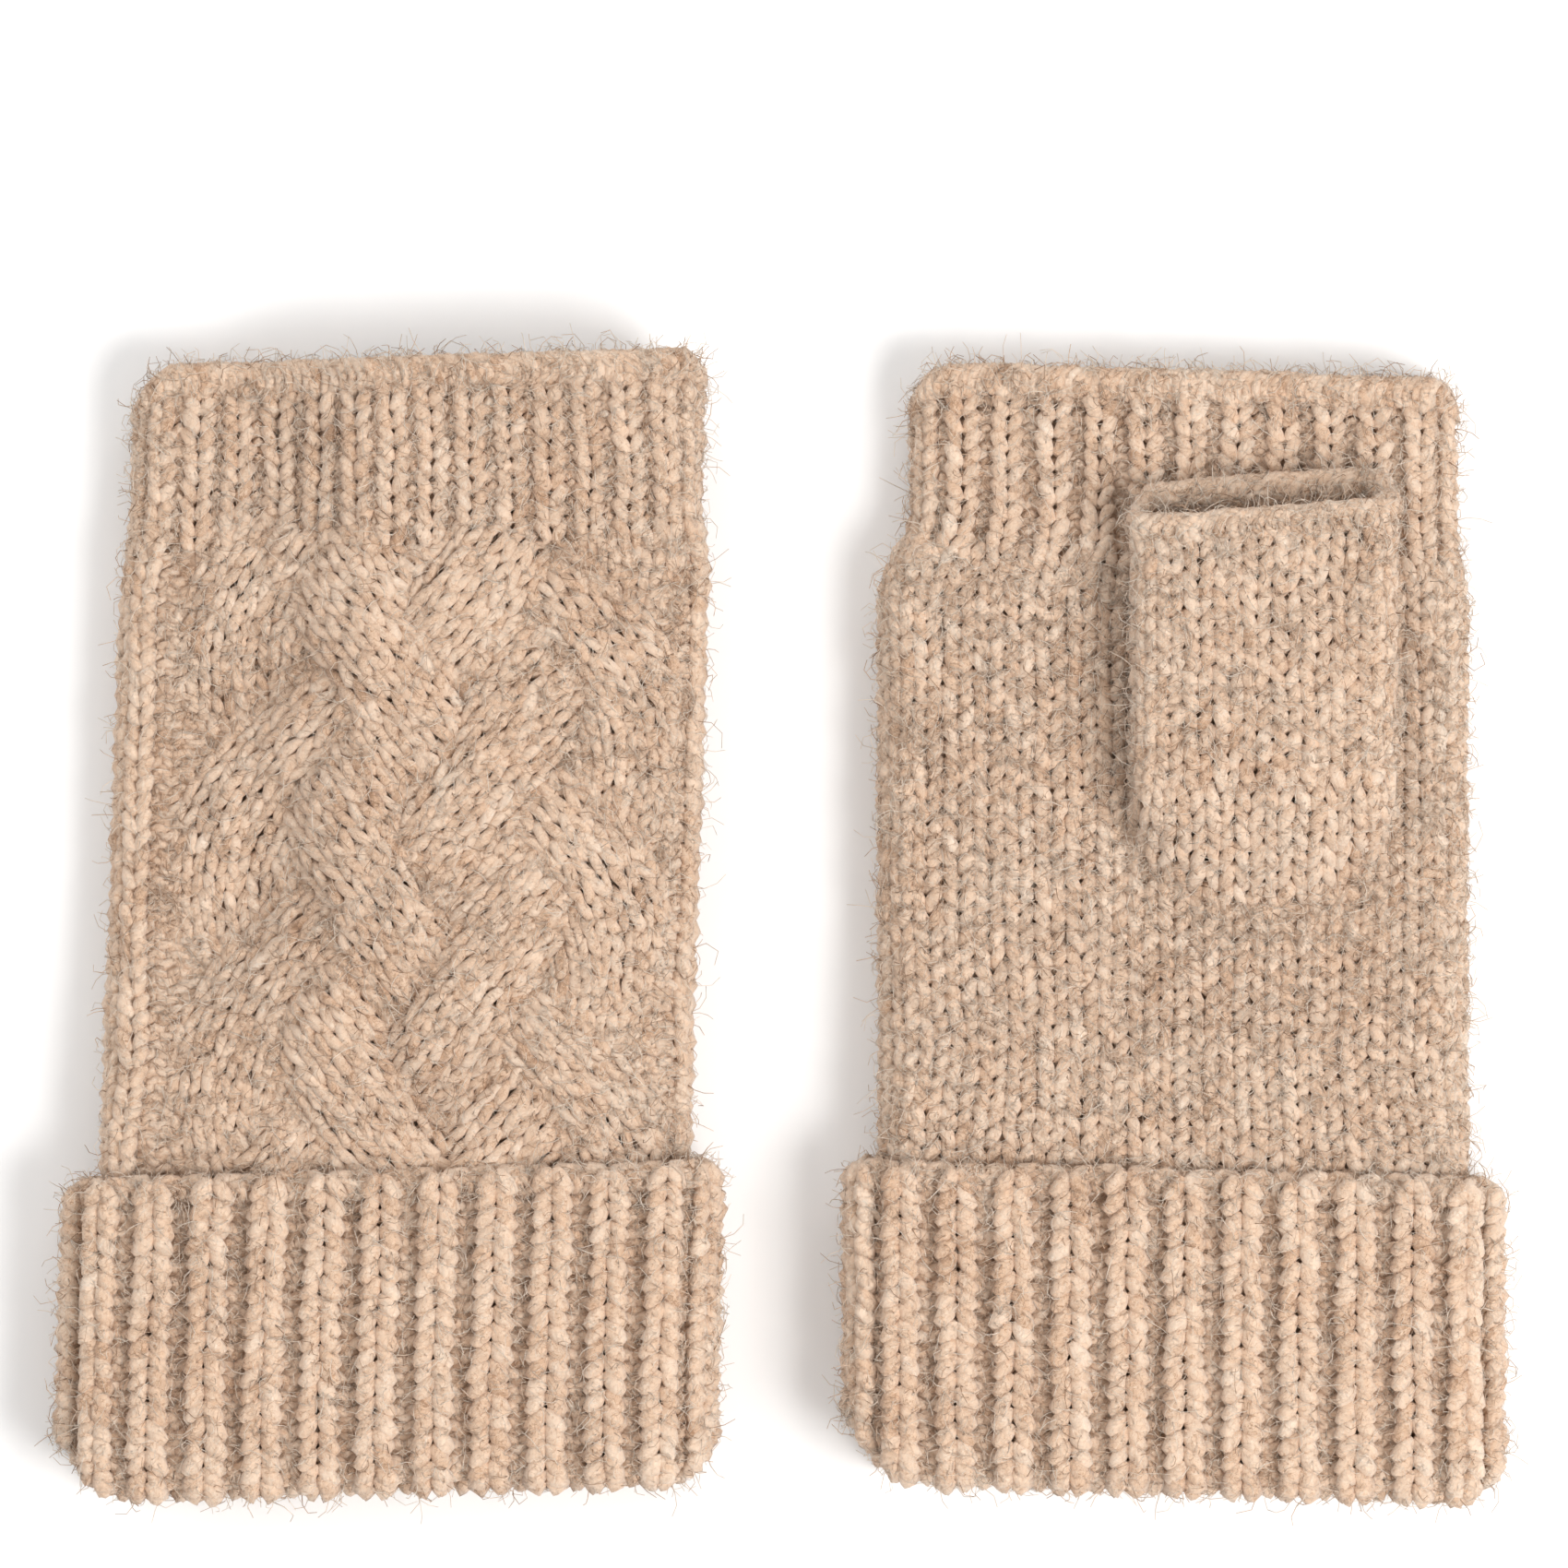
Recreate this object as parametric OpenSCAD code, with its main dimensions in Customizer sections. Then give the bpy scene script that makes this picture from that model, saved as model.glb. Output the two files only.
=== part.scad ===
// A pair of knitted fingerless gloves, laid flat side by side with the fingers towards +Y.
// The right-hand glove lies palm up, and the left-hand glove lies palm down on its own thumb.
// Every knitted zone is a closed shell lofted along Y between an outer and an inner outline.

/* [Pair] */
// Clear distance between the two cuffs
pair_gap = 19; // [8:1:60]
// Sideways lean of the left glove, per unit of height
left_lean = 0.034; // [0:0.002:0.04]
// Slope of the left glove's rows across its width
left_slope = 0.03; // [0:0.002:0.035]
// Slope of the right glove's rows across its width
right_slope = -0.03; // [-0.035:0.002:0]

/* [Hand] */
// Length from the cuff's fold to the finger edge
glove_length = 186; // [155:1:230]
// How much shorter the right glove lies than the left
right_shortening = 2; // [0:0.5:6]
// Width across the hand
hand_width = 97; // [80:1:120]
// Thickness of the knitted hand fabric
hand_wall = 3.6; // [3:0.1:4.4]
// Clear height left inside the hand where it is flattest
hand_gap = 4.8; // [4.4:0.1:6]
// Overall thickness of the hand where it lies flat on the ground
hand_height = 13.5; // [12.9:0.1:18]
// Corner radius of the finger edge on the little-finger side
finger_corner = 7; // [3:0.5:10]
// Corner radius of the finger edge on the thumb side
thumb_side_corner = 3; // [1:0.5:5]

/* [Finger rib] */
// Height of the ribbed band, with its bound-off edge
finger_rib_height = 29; // [20:1:36]
// Height of the bound-off edge
finger_edge_height = 5; // [3:0.5:7]
// How far the right glove's rib draws in on its little-finger side
right_draw_in = 5; // [0:0.5:8]
// How far the left glove's rib draws in on its little-finger side
left_draw_in = 1; // [0:0.5:8]
// How far both ribs draw in on the thumb side
thumb_side_draw_in = 1.5; // [0:0.5:4]

/* [Thumb] */
// Width of the thumb stall, laid flat
thumb_width = 44; // [36:1:54]
// Length of the thumb stall's front
thumb_length = 47.5; // [38:0.5:60]
// How much longer the thumb stall is at its rear
thumb_rear_rise = 5.5; // [0:0.5:8]
// Slope of the thumb's open end across its width
thumb_end_slope = 0.06; // [0:0.01:0.15]
// Thickness of the thumb fabric
thumb_wall = 3; // [2.4:0.1:3.6]
// Clear height inside the thumb stall
thumb_gap = 4.6; // [4.2:0.1:7]
// Thumb stall's distance in from the hand's thumb-side edge
thumb_inset = 12; // [8:1:20]
// Height of the thumb's base above the cuff's free edge
thumb_base_height = 61; // [50:1:70]
// Height of the thumb's bound-off edge
thumb_edge_height = 4.5; // [3:0.5:6]
// Length of the slit in the palm that the thumb passes through
slit_length = 8; // [7:0.5:10]
// Width of the picked-up seam round the slit
join_width = 1.2; // [0.8:0.1:1.6]

/* [Cuff] */
// Height of the turned-up cuff
cuff_height = 53; // [44:1:66]
// Thickness of the turned-up layer
cuff_wall = 4; // [3:0.1:5]
// Thickness of the wrist layer under it
wrist_wall = 3.6; // [3:0.1:4.4]
// How much wider the wrist is than the hand, on each side
wrist_flare = 1.7; // [0:0.1:4]
// Corner radius of the cuff's fold on the little-finger side
cuff_corner = 14; // [5:0.5:16]
// Corner radius of the cuff's fold on the thumb side
cuff_thumb_corner = 5; // [2:0.5:8]
// Height of the cast-on edge along the cuff's free end
cast_on_height = 4; // [3:0.5:6]
// Height of the rounded fold
fold_height = 4.3; // [4.3:0.1:6]

/* [Fit] */
// Clearance between layers that move on each other
clearance = 0.3; // [0.2:0.05:0.5]

/* [Hidden] */

// A glove's side is +1 for the right glove, palm up, and -1 for the left glove, palm down.
RIGHT = 1;
LEFT = -1;

// An outline's points run from the thumb side over the palm, round the far side and along the back.
END_STEPS = 3;
FLAT_STEPS = 10;
PALM_END = END_STEPS + FLAT_STEPS;
FAR_END = PALM_END + 2 * END_STEPS;
BACK_END = FAR_END + FLAT_STEPS;
OUTLINE_STEPS = 2 * FLAT_STEPS + 4 * END_STEPS;
HALF_STEPS = OUTLINE_STEPS / 2;

cast_on_round = 1.5;

KNIT = [0.84, 0.73, 0.63];
KNIT_RIB = [0.81, 0.69, 0.59];
KNIT_EDGE = [0.87, 0.77, 0.67];

// Levels along Y
function finger_end(side) = glove_length / 2 - (side == RIGHT ? right_shortening : 0);
fold_end = -glove_length / 2;
cuff_top = fold_end + cuff_height;
wrist_top = cuff_top - 2;
cuff_middle = fold_end + cuff_height / 2;
function rib_start(side) = finger_end(side) - finger_rib_height;
thumb_base = cuff_top + thumb_base_height;

// Levels above the ground
cuff_rise = cuff_wall + clearance;
wrist_half = hand_gap / 2 + wrist_wall;
cuff_half = wrist_half + cuff_rise;
wrist_high = cuff_half + wrist_half;
thumb_height = thumb_gap + 2 * thumb_wall;
thumb_lift = thumb_height + clearance;
over_thumb = thumb_lift + 2 * hand_wall + hand_gap;
finger_rest = 5;
finger_droop = 3.5;

// Widths, from a glove's own centre line
hand_half = hand_width / 2;
cuff_half_width = hand_half + wrist_flare + cuff_rise;
glove_centre = cuff_half_width + pair_gap / 2;
thumb_right = hand_half - thumb_inset;
thumb_left = thumb_right - thumb_width;
thumb_end = thumb_base + thumb_length + thumb_rear_rise + thumb_end_slope * thumb_width / 2;

// Along Y, where the left glove's palm rises onto its thumb and falls past the thumb's end
rise_end = thumb_base - thumb_height - 5 * clearance;
rise_start = min(cuff_top + 32, rise_end - 12);
sag_start = thumb_end + 1;
sag_end = max(finger_end(LEFT) - 4, sag_start + 6);

function mix(a, b, t) = a + (b - a) * t;
function ramp(v, start, end) = max(0, min(1, (v - start) / (end - start)));
function rounded_inset(radius, distance) =
    distance >= radius ? 0 : radius - sqrt(radius * radius - pow(radius - distance, 2));
// The values in rising order, each once
function sorted(values) = len(values) == 0 ? [] : concat(
    sorted([for (v = values) if (v < values[0]) v]),
    [values[0]],
    sorted([for (v = values) if (v > values[0]) v])
);
function levels(start, end, steps) = [for (i = [0:steps]) mix(start, end, i / steps)];

// Height of a glove's two faces where it lies on the ground, and where the left glove lies on its thumb
function lower_on_ground(y) = mix(cuff_rise, 0, ramp(y, cuff_top + 6, cuff_top + 18));
function upper_on_ground(y) = mix(wrist_high, hand_height, ramp(y, cuff_top + 20, cuff_top + 40));
function lower_on_thumb(y) =
    let (up = mix(cuff_rise, thumb_lift, ramp(y, rise_start, rise_end)))
    mix(up, finger_rest, ramp(y, sag_start, sag_end));
function upper_on_thumb(y) =
    let (up = mix(wrist_high, over_thumb, ramp(y, cuff_top + 6, cuff_top + 24)))
    mix(up, over_thumb - finger_droop, ramp(y, sag_end - 6, sag_end + 4));
function over_thumb_part(x) = ramp(x, thumb_left - 16, thumb_left - 1);

function palm_z(side, x, y) = side == RIGHT
    ? upper_on_ground(y)
    : mix(lower_on_ground(y), lower_on_thumb(y), over_thumb_part(x));
function back_z(side, x, y) = side == RIGHT
    ? lower_on_ground(y)
    : mix(upper_on_ground(y), upper_on_thumb(y), over_thumb_part(x));

// The left and right edges of the hand and of the cuff
function draw_in(side) = side == RIGHT ? right_draw_in : left_draw_in;
function hand_edges(side, y) = let (rib = ramp(y, rib_start(side) - 6, rib_start(side) + 2)) [
    -hand_half + draw_in(side) * rib + rounded_inset(finger_corner, finger_end(side) - y),
    hand_half - thumb_side_draw_in * rib - rounded_inset(thumb_side_corner, finger_end(side) - y)
];
function cuff_edges(y) = [
    -cuff_half_width + rounded_inset(cuff_corner, y - fold_end),
    cuff_half_width - rounded_inset(cuff_thumb_corner, y - fold_end)
];
function wrist_edges(side, y) = let (t = ramp(y, wrist_top - 8, wrist_top), hand = hand_edges(side, y)) [
    mix(cuff_edges(y)[0] + cuff_rise, hand[0], t),
    mix(cuff_edges(y)[1] - cuff_rise, hand[1], t)
];

// Where point k of an outline sits: its angle on the end arcs, and its share of the way across
function outline_angle(k) =
    k <= END_STEPS ? 90 * k / END_STEPS
    : k <= PALM_END ? 90
    : k <= FAR_END ? 90 + 90 * (k - PALM_END) / END_STEPS
    : k <= BACK_END ? 270
    : 270 + 90 * (k - BACK_END) / END_STEPS;
function outline_share(k) =
    k <= END_STEPS ? 0
    : k <= PALM_END ? (k - END_STEPS) / FLAT_STEPS
    : k <= FAR_END ? 1
    : k <= BACK_END ? 1 - (k - FAR_END) / FLAT_STEPS
    : 0;

// One point of a flattened oval: round ends, with the palm face towards +side
function oval_point(side, k, centre_x, palm, back, inset) =
    let (radius = side * (palm - back) / 2 - inset, angle = outline_angle(k))
    [centre_x + radius * cos(angle), (palm + back) / 2 + side * radius * sin(angle)];

// A glove's centre line, and a point of its own outline set down at its place in the pair
function centre_line(side, y) = side * glove_centre + (side == LEFT ? left_lean : 0) * (y - cuff_middle);
function place(side, x, y, z) = [
    centre_line(side, y) + x,
    y + (side == LEFT ? left_slope : right_slope) * x,
    z
];

function hand_point(side, k, y, inset) =
    let (
        edges = hand_edges(side, y),
        end_x = outline_share(k) < 0.5 ? edges[1] : edges[0],
        end_radius = side * (palm_z(side, end_x, y) - back_z(side, end_x, y)) / 2,
        far_radius = side * (palm_z(side, edges[0], y) - back_z(side, edges[0], y)) / 2,
        near_radius = side * (palm_z(side, edges[1], y) - back_z(side, edges[1], y)) / 2,
        x = mix(edges[1] - near_radius, edges[0] + far_radius, outline_share(k)),
        on_end = outline_share(k) == 0 || outline_share(k) == 1,
        z_at = on_end ? end_x : x,
        p = oval_point(side, k, x, palm_z(side, z_at, y), back_z(side, z_at, y), inset)
    )
    place(side, p[0], y, p[1]);

// Points of the cuff's layers, in from the cuff's own outside
function layer_point(side, k, y, edges, half, inset) =
    let (x = mix(edges[1] - half, edges[0] + half, outline_share(k)))
    let (p = oval_point(side, k, x, cuff_half + side * half, cuff_half - side * half, inset))
    place(side, p[0], y, p[1]);

function hand_rows(side, ys, first, last, wall) = [
    for (y = ys) [for (inset = [0, wall]) [for (k = [first:last]) hand_point(side, k, y, inset)]]
];

// Faces of a shell from its rows: outside, inside, both ends, and both sides of an open strip
function corner(row, k, count, inner) = 2 * (row * count + k % count) + inner;
function shell_quads(rows, count, closed) = let (last = closed ? count - 1 : count - 2) [
    for (r = [0:rows - 2], k = [0:last]) each [
        [corner(r, k, count, 0), corner(r, k + 1, count, 0),
            corner(r + 1, k + 1, count, 0), corner(r + 1, k, count, 0)],
        [corner(r, k, count, 1), corner(r + 1, k, count, 1),
            corner(r + 1, k + 1, count, 1), corner(r, k + 1, count, 1)]
    ],
    for (k = [0:last]) each [
        [corner(0, k, count, 0), corner(0, k, count, 1),
            corner(0, k + 1, count, 1), corner(0, k + 1, count, 0)],
        [corner(rows - 1, k, count, 0), corner(rows - 1, k + 1, count, 0),
            corner(rows - 1, k + 1, count, 1), corner(rows - 1, k, count, 1)]
    ],
    if (!closed) for (r = [0:rows - 2]) each [
        [corner(r, 0, count, 0), corner(r + 1, 0, count, 0),
            corner(r + 1, 0, count, 1), corner(r, 0, count, 1)],
        [corner(r, count - 1, count, 0), corner(r, count - 1, count, 1),
            corner(r + 1, count - 1, count, 1), corner(r + 1, count - 1, count, 0)]
    ]
];
function triangles(quads, flipped) = [
    for (q = quads) each flipped
        ? [[q[0], q[2], q[1]], [q[0], q[3], q[2]]]
        : [[q[0], q[1], q[2]], [q[0], q[2], q[3]]]
];

// A closed solid through rows of [outer points, inner points]
module shell(side, rows, closed) {
    count = len(rows[0][0]);
    polyhedron(
        points = [for (row = rows, k = [0:count - 1]) each [row[0][k], row[1][k]]],
        faces = triangles(shell_quads(len(rows), count, closed), side == LEFT),
        convexity = 6
    );
}

module hand_panel(side, first, last) {
    ys = sorted([
        wrist_top, cuff_top + 6, cuff_top + 12, cuff_top + 18, cuff_top + 24, cuff_top + 40,
        rise_start, rise_end, thumb_base - 4, thumb_base + slit_length + 8,
        min(sag_start, rib_start(side) - 6), rib_start(side) - 6, rib_start(side)
    ]);
    shell(side, hand_rows(side, ys, first, last, hand_wall), false);
}

module back_panel(side) {
    color(KNIT) hand_panel(side, HALF_STEPS, OUTLINE_STEPS);
}

// The rectangle of the slit, grown by a margin, through the palm fabric
module slit_block(side, margin, overrun) {
    x_middle = centre_line(side, thumb_base) + (thumb_left + thumb_right) / 2;
    low = min(palm_z(side, thumb_right, thumb_base), palm_z(side, thumb_right, thumb_base) - side * hand_wall);
    width = thumb_width - 4 * thumb_wall + 2 * margin;
    translate([x_middle - width / 2, thumb_base + join_width - margin, low - overrun])
        cube([width, slit_length - 2 * join_width + 2 * margin, hand_wall + 2 * overrun]);
}

module palm_panel(side) {
    color(KNIT) difference() {
        hand_panel(side, 0, HALF_STEPS);
        slit_block(side, join_width, 1);
    }
}

module thumb_join(side) {
    color(KNIT_EDGE) difference() {
        slit_block(side, join_width, 0);
        slit_block(side, 0, 1);
    }
}

module finger_rib(side) {
    start = rib_start(side);
    end = finger_end(side) - finger_edge_height;
    middle = max(start + 6, min(sag_start, end - 4));
    ys = concat([start, start + 2], levels(middle, end, 2));
    color(KNIT_RIB) shell(side, hand_rows(side, ys, 0, OUTLINE_STEPS - 1, hand_wall), true);
}

module finger_bind_off(side) {
    ys = [for (depth = [1, 0.6, 0.25, 0]) finger_end(side) - depth * finger_edge_height];
    color(KNIT_EDGE) shell(side, hand_rows(side, ys, 0, OUTLINE_STEPS - 1, hand_wall), true);
}

// The thumb stall lies on the palm. Its mouth at the base is cut on a slant over the slit.
function thumb_front(y) = mix(2 * thumb_wall + 0.4, thumb_height, ramp(y, thumb_base, thumb_base + 14));
function thumb_point(side, k, share, inset) =
    let (
        rear = (1 - sin(outline_angle(k))) / 2,
        x_share = mix(thumb_right, thumb_left, outline_share(k)),
        start = thumb_base + (slit_length + 1) * rear,
        end = thumb_base + thumb_length + thumb_rear_rise * rear
            + thumb_end_slope * (x_share - (thumb_left + thumb_right) / 2),
        y = mix(start, end, share),
        half = thumb_front(y) / 2,
        rest = palm_z(side, thumb_right, thumb_base) + side * clearance,
        x = mix(thumb_right - half, thumb_left + half, outline_share(k)),
        p = oval_point(side, k, x, rest + side * thumb_front(y), rest, inset)
    )
    [centre_line(side, thumb_base) + p[0], y, p[1]];
function thumb_rows(side, shares) = [
    for (share = shares)
        [for (inset = [0, thumb_wall]) [for (k = [0:OUTLINE_STEPS - 1]) thumb_point(side, k, share, inset)]]
];
thumb_edge_share = 1 - thumb_edge_height / thumb_length;

module thumb_stall(side) {
    color(KNIT) shell(side, thumb_rows(side, levels(0, thumb_edge_share, 6)), true);
}

module thumb_bind_off(side) {
    color(KNIT_EDGE) shell(side, thumb_rows(side, levels(thumb_edge_share, 1, 2)), true);
}

function wrist_rows(side, ys) = [
    for (y = ys) [for (inset = [0, wrist_wall]) [
        for (k = [0:OUTLINE_STEPS - 1]) layer_point(side, k, y, wrist_edges(side, y), wrist_half, inset)
    ]]
];
function cuff_row(side, y, outer_inset, inner_inset) = [for (inset = [outer_inset, inner_inset]) [
    for (k = [0:OUTLINE_STEPS - 1]) layer_point(side, k, y, cuff_edges(y), cuff_half, inset)
]];

module wrist_rib(side) {
    start = fold_end + fold_height + clearance;
    ys = [start, start + 2, start + 5, start + 10, start + 22, wrist_top - 8, wrist_top - 4, wrist_top];
    color(KNIT_RIB) shell(side, wrist_rows(side, ys), true);
}

module cuff_turn_up(side) {
    start = fold_end + fold_height;
    ys = [start, start + 2, start + 5, start + 10, start + 22, cuff_top - cast_on_height];
    color(KNIT_RIB) shell(side, [for (y = ys) cuff_row(side, y, 0, cuff_wall)], true);
}

// The fold's lip is a half round between the cuff's outside and the wrist's inside
module cuff_fold(side) {
    depth = cuff_rise + wrist_wall;
    lip = depth / 2 - 0.5;
    rows = [for (d = [0, 0.15, 0.45, 1]) let (inset = rounded_inset(lip, min(d * fold_height, lip)))
        cuff_row(side, fold_end + d * fold_height, inset, depth - inset)];
    color(KNIT_EDGE) shell(side, rows, true);
}

module cuff_cast_on_edge(side) {
    rows = [for (d = [1, 0.6, 0.25, 0])
        cuff_row(side, cuff_top - d * cast_on_height, rounded_inset(cast_on_round, d * cast_on_height), cuff_wall)];
    color(KNIT_EDGE) shell(side, rows, true);
}

back_panel(RIGHT);  // right_back_panel
palm_panel(RIGHT);  // right_palm_panel
finger_rib(RIGHT);  // right_finger_rib
finger_bind_off(RIGHT);  // right_finger_bind_off
thumb_join(RIGHT);  // right_thumb_join
thumb_stall(RIGHT);  // right_thumb_stall
thumb_bind_off(RIGHT);  // right_thumb_bind_off
wrist_rib(RIGHT);  // right_wrist_rib
cuff_turn_up(RIGHT);  // right_cuff_turn_up
cuff_fold(RIGHT);  // right_cuff_fold
cuff_cast_on_edge(RIGHT);  // right_cuff_cast_on_edge
back_panel(LEFT);  // left_back_panel
palm_panel(LEFT);  // left_palm_panel
finger_rib(LEFT);  // left_finger_rib
finger_bind_off(LEFT);  // left_finger_bind_off
thumb_join(LEFT);  // left_thumb_join
thumb_stall(LEFT);  // left_thumb_stall
thumb_bind_off(LEFT);  // left_thumb_bind_off
wrist_rib(LEFT);  // left_wrist_rib
cuff_turn_up(LEFT);  // left_cuff_turn_up
cuff_fold(LEFT);  // left_cuff_fold
cuff_cast_on_edge(LEFT);  // left_cuff_cast_on_edge
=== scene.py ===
import math
from collections import namedtuple

import bpy
import numpy as np
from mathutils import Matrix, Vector
from mathutils.bvhtree import BVHTree


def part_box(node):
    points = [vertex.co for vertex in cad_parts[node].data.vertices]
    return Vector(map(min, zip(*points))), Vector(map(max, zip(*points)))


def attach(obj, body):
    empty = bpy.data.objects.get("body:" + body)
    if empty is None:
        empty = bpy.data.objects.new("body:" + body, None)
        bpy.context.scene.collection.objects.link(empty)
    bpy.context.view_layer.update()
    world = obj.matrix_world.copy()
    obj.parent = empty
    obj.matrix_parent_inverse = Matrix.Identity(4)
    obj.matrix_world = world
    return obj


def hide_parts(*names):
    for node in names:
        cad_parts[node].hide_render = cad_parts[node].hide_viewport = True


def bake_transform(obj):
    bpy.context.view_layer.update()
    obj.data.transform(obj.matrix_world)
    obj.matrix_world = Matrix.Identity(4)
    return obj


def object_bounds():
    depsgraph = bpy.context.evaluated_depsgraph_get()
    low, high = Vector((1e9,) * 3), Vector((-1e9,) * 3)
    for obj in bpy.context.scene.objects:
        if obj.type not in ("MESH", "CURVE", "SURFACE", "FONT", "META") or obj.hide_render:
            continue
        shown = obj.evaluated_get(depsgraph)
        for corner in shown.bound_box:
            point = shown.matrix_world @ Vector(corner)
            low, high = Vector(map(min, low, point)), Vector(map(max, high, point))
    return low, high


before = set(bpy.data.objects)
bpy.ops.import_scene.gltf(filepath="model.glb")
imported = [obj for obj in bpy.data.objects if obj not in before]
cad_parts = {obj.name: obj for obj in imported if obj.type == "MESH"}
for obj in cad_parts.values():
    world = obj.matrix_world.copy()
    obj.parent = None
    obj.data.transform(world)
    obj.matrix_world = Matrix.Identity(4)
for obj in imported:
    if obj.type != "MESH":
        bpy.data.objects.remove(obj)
CAD_LOW, CAD_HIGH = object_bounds()

# Lengths below are in millimetres unless a name says otherwise; meshes are made in metres.
PER_M = 1000.0
SIDES = {"right": 1, "left": -1}  # +1 lies palm up, -1 lies palm down
RANDOM_SEED = 631

# Camera, lights and floor
VIEW_WIDTH_SHARE = 1.074  # width of the view, as a share of the pair's width
VIEW_SHIFT = (0.003, 0.1245)  # view's centre from the pair's, in shares of its width and length
CAMERA_HEIGHT_M = 2.2
CAMERA_BASE_SHARE = 0.7  # height that the camera's is measured from, as a share of the pair's
SENSOR_MM = 36.0
WORLD_COLOUR, WORLD_STRENGTH = (1.0, 0.99, 0.98, 1.0), 0.5
WHITE, WARM = (1.0, 1.0, 1.0), (1.0, 0.985, 0.97)
LIGHTS = (  # name, place and width in metres, watts and tint
    ("key", (0.85, -0.45, 1.15), 0.7, 20.0, WARM),
    ("fill", (-0.9, 0.3, 1.0), 0.9, 6.0, WHITE),
    ("rear", (0.1, 1.1, 0.8), 0.8, 4.0, WHITE),
)
FLOOR_REACH_M, FLOOR_DROP_M = 3.0, 0.0004
FLOOR_COLOUR, FLOOR_ROUGHNESS = (0.93, 0.93, 0.93, 1), 0.8


def add_object(name, data):
    thing = bpy.data.objects.new(name, data)
    bpy.context.scene.collection.objects.link(thing)
    return thing


def make_camera():
    size = CAD_HIGH - CAD_LOW
    middle = (CAD_HIGH + CAD_LOW) / 2
    data = bpy.data.cameras.new("camera")
    data.sensor_width = SENSOR_MM
    data.lens = data.sensor_width * CAMERA_HEIGHT_M / (VIEW_WIDTH_SHARE * size.x)
    data.clip_start, data.clip_end = 0.05, 20.0
    camera = add_object("camera", data)
    camera.location = (
        middle.x + VIEW_SHIFT[0] * size.x,
        middle.y + VIEW_SHIFT[1] * size.y,
        CAMERA_BASE_SHARE * size.z + CAMERA_HEIGHT_M,
    )
    bpy.context.scene.camera = camera


def area_light(name, place, width, watts, tint):
    """A square light that faces the middle of the pair."""
    data = bpy.data.lights.new(name, "AREA")
    data.shape = "SQUARE"
    data.size = width
    data.energy = watts
    data.color = tint
    light = add_object(name, data)
    light.location = place
    light.rotation_euler = (-Vector(place)).to_track_quat("-Z", "Y").to_euler()


def make_studio():
    world = bpy.data.worlds.new("studio")
    bpy.context.scene.world = world
    world.use_nodes = True
    background = world.node_tree.nodes["Background"]
    background.inputs["Color"].default_value = WORLD_COLOUR
    background.inputs["Strength"].default_value = WORLD_STRENGTH
    for light in LIGHTS:
        area_light(*light)
    bpy.context.scene.view_settings.view_transform = "Standard"

    mesh = bpy.data.meshes.new("floor")
    corners = [(x * FLOOR_REACH_M, y * FLOOR_REACH_M, 0)
               for x, y in ((-1, -1), (1, -1), (1, 1), (-1, 1))]
    mesh.from_pydata(corners, [], [(0, 1, 2, 3)])
    floor = add_object("floor", mesh)
    floor.location.z = -FLOOR_DROP_M
    material = bpy.data.materials.new("floor")
    material.use_nodes = True
    shader = material.node_tree.nodes["Principled BSDF"]
    shader.inputs["Base Color"].default_value = FLOOR_COLOUR
    shader.inputs["Roughness"].default_value = FLOOR_ROUGHNESS
    mesh.materials.append(material)


# Small helpers
def smooth(value, start, end):
    t = np.clip((np.asarray(value, float) - start) / (end - start), 0, 1)
    return t * t * (3 - 2 * t)


def unit(vectors):
    return vectors / np.maximum(np.linalg.norm(vectors, axis=-1, keepdims=True), 1e-9)


class Wander:
    """A smooth random field of two coordinates, made of a few seeded waves."""

    def __init__(self, seed, wavelength, waves=14):
        rng = np.random.default_rng(RANDOM_SEED + seed)
        angle = rng.uniform(0, 2 * math.pi, waves)
        number = 2 * math.pi / (wavelength * rng.uniform(0.6, 1.6, waves))
        self.kx, self.ky = number * np.cos(angle), number * np.sin(angle)
        self.phase = rng.uniform(0, 2 * math.pi, waves)
        self.scale = math.sqrt(2 / waves)

    def __call__(self, x, y):
        x, y = np.asarray(x, float)[..., None], np.asarray(y, float)[..., None]
        return self.scale * np.sin(x * self.kx + y * self.ky + self.phase).sum(-1)


# Layers: the outside of each knitted tube, measured from the CAD nodes
def cad_tree(nodes):
    verts, polygons = [], []
    for name in nodes:
        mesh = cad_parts[name].data
        start = len(verts)
        verts += [tuple(v.co * PER_M) for v in mesh.vertices]
        polygons += [[start + i for i in p.vertices] for p in mesh.polygons]
    points = np.array(verts)
    return BVHTree.FromPolygons(verts, polygons), points.min(0), points.max(0)


def cad_box(node):
    """The lowest and highest corners of a CAD node."""
    return [np.array(corner) * PER_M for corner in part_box(node)]


def first_hit(tree, origin, direction, axis):
    found = tree.ray_cast(Vector(origin), Vector(direction))[0]
    return np.nan if found is None else found[axis]


def filled(values):
    """Gaps of a measured row take their neighbours' values."""
    values = np.asarray(values, float)
    known = ~np.isnan(values)
    places = np.arange(len(values))
    return np.interp(places, places[known], values[known])


CORNER_STEP = 3.0  # the most that a rounded corner falls from one measured place to the next
FAR = 20  # how far outside a tube the rays that measure it start


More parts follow.
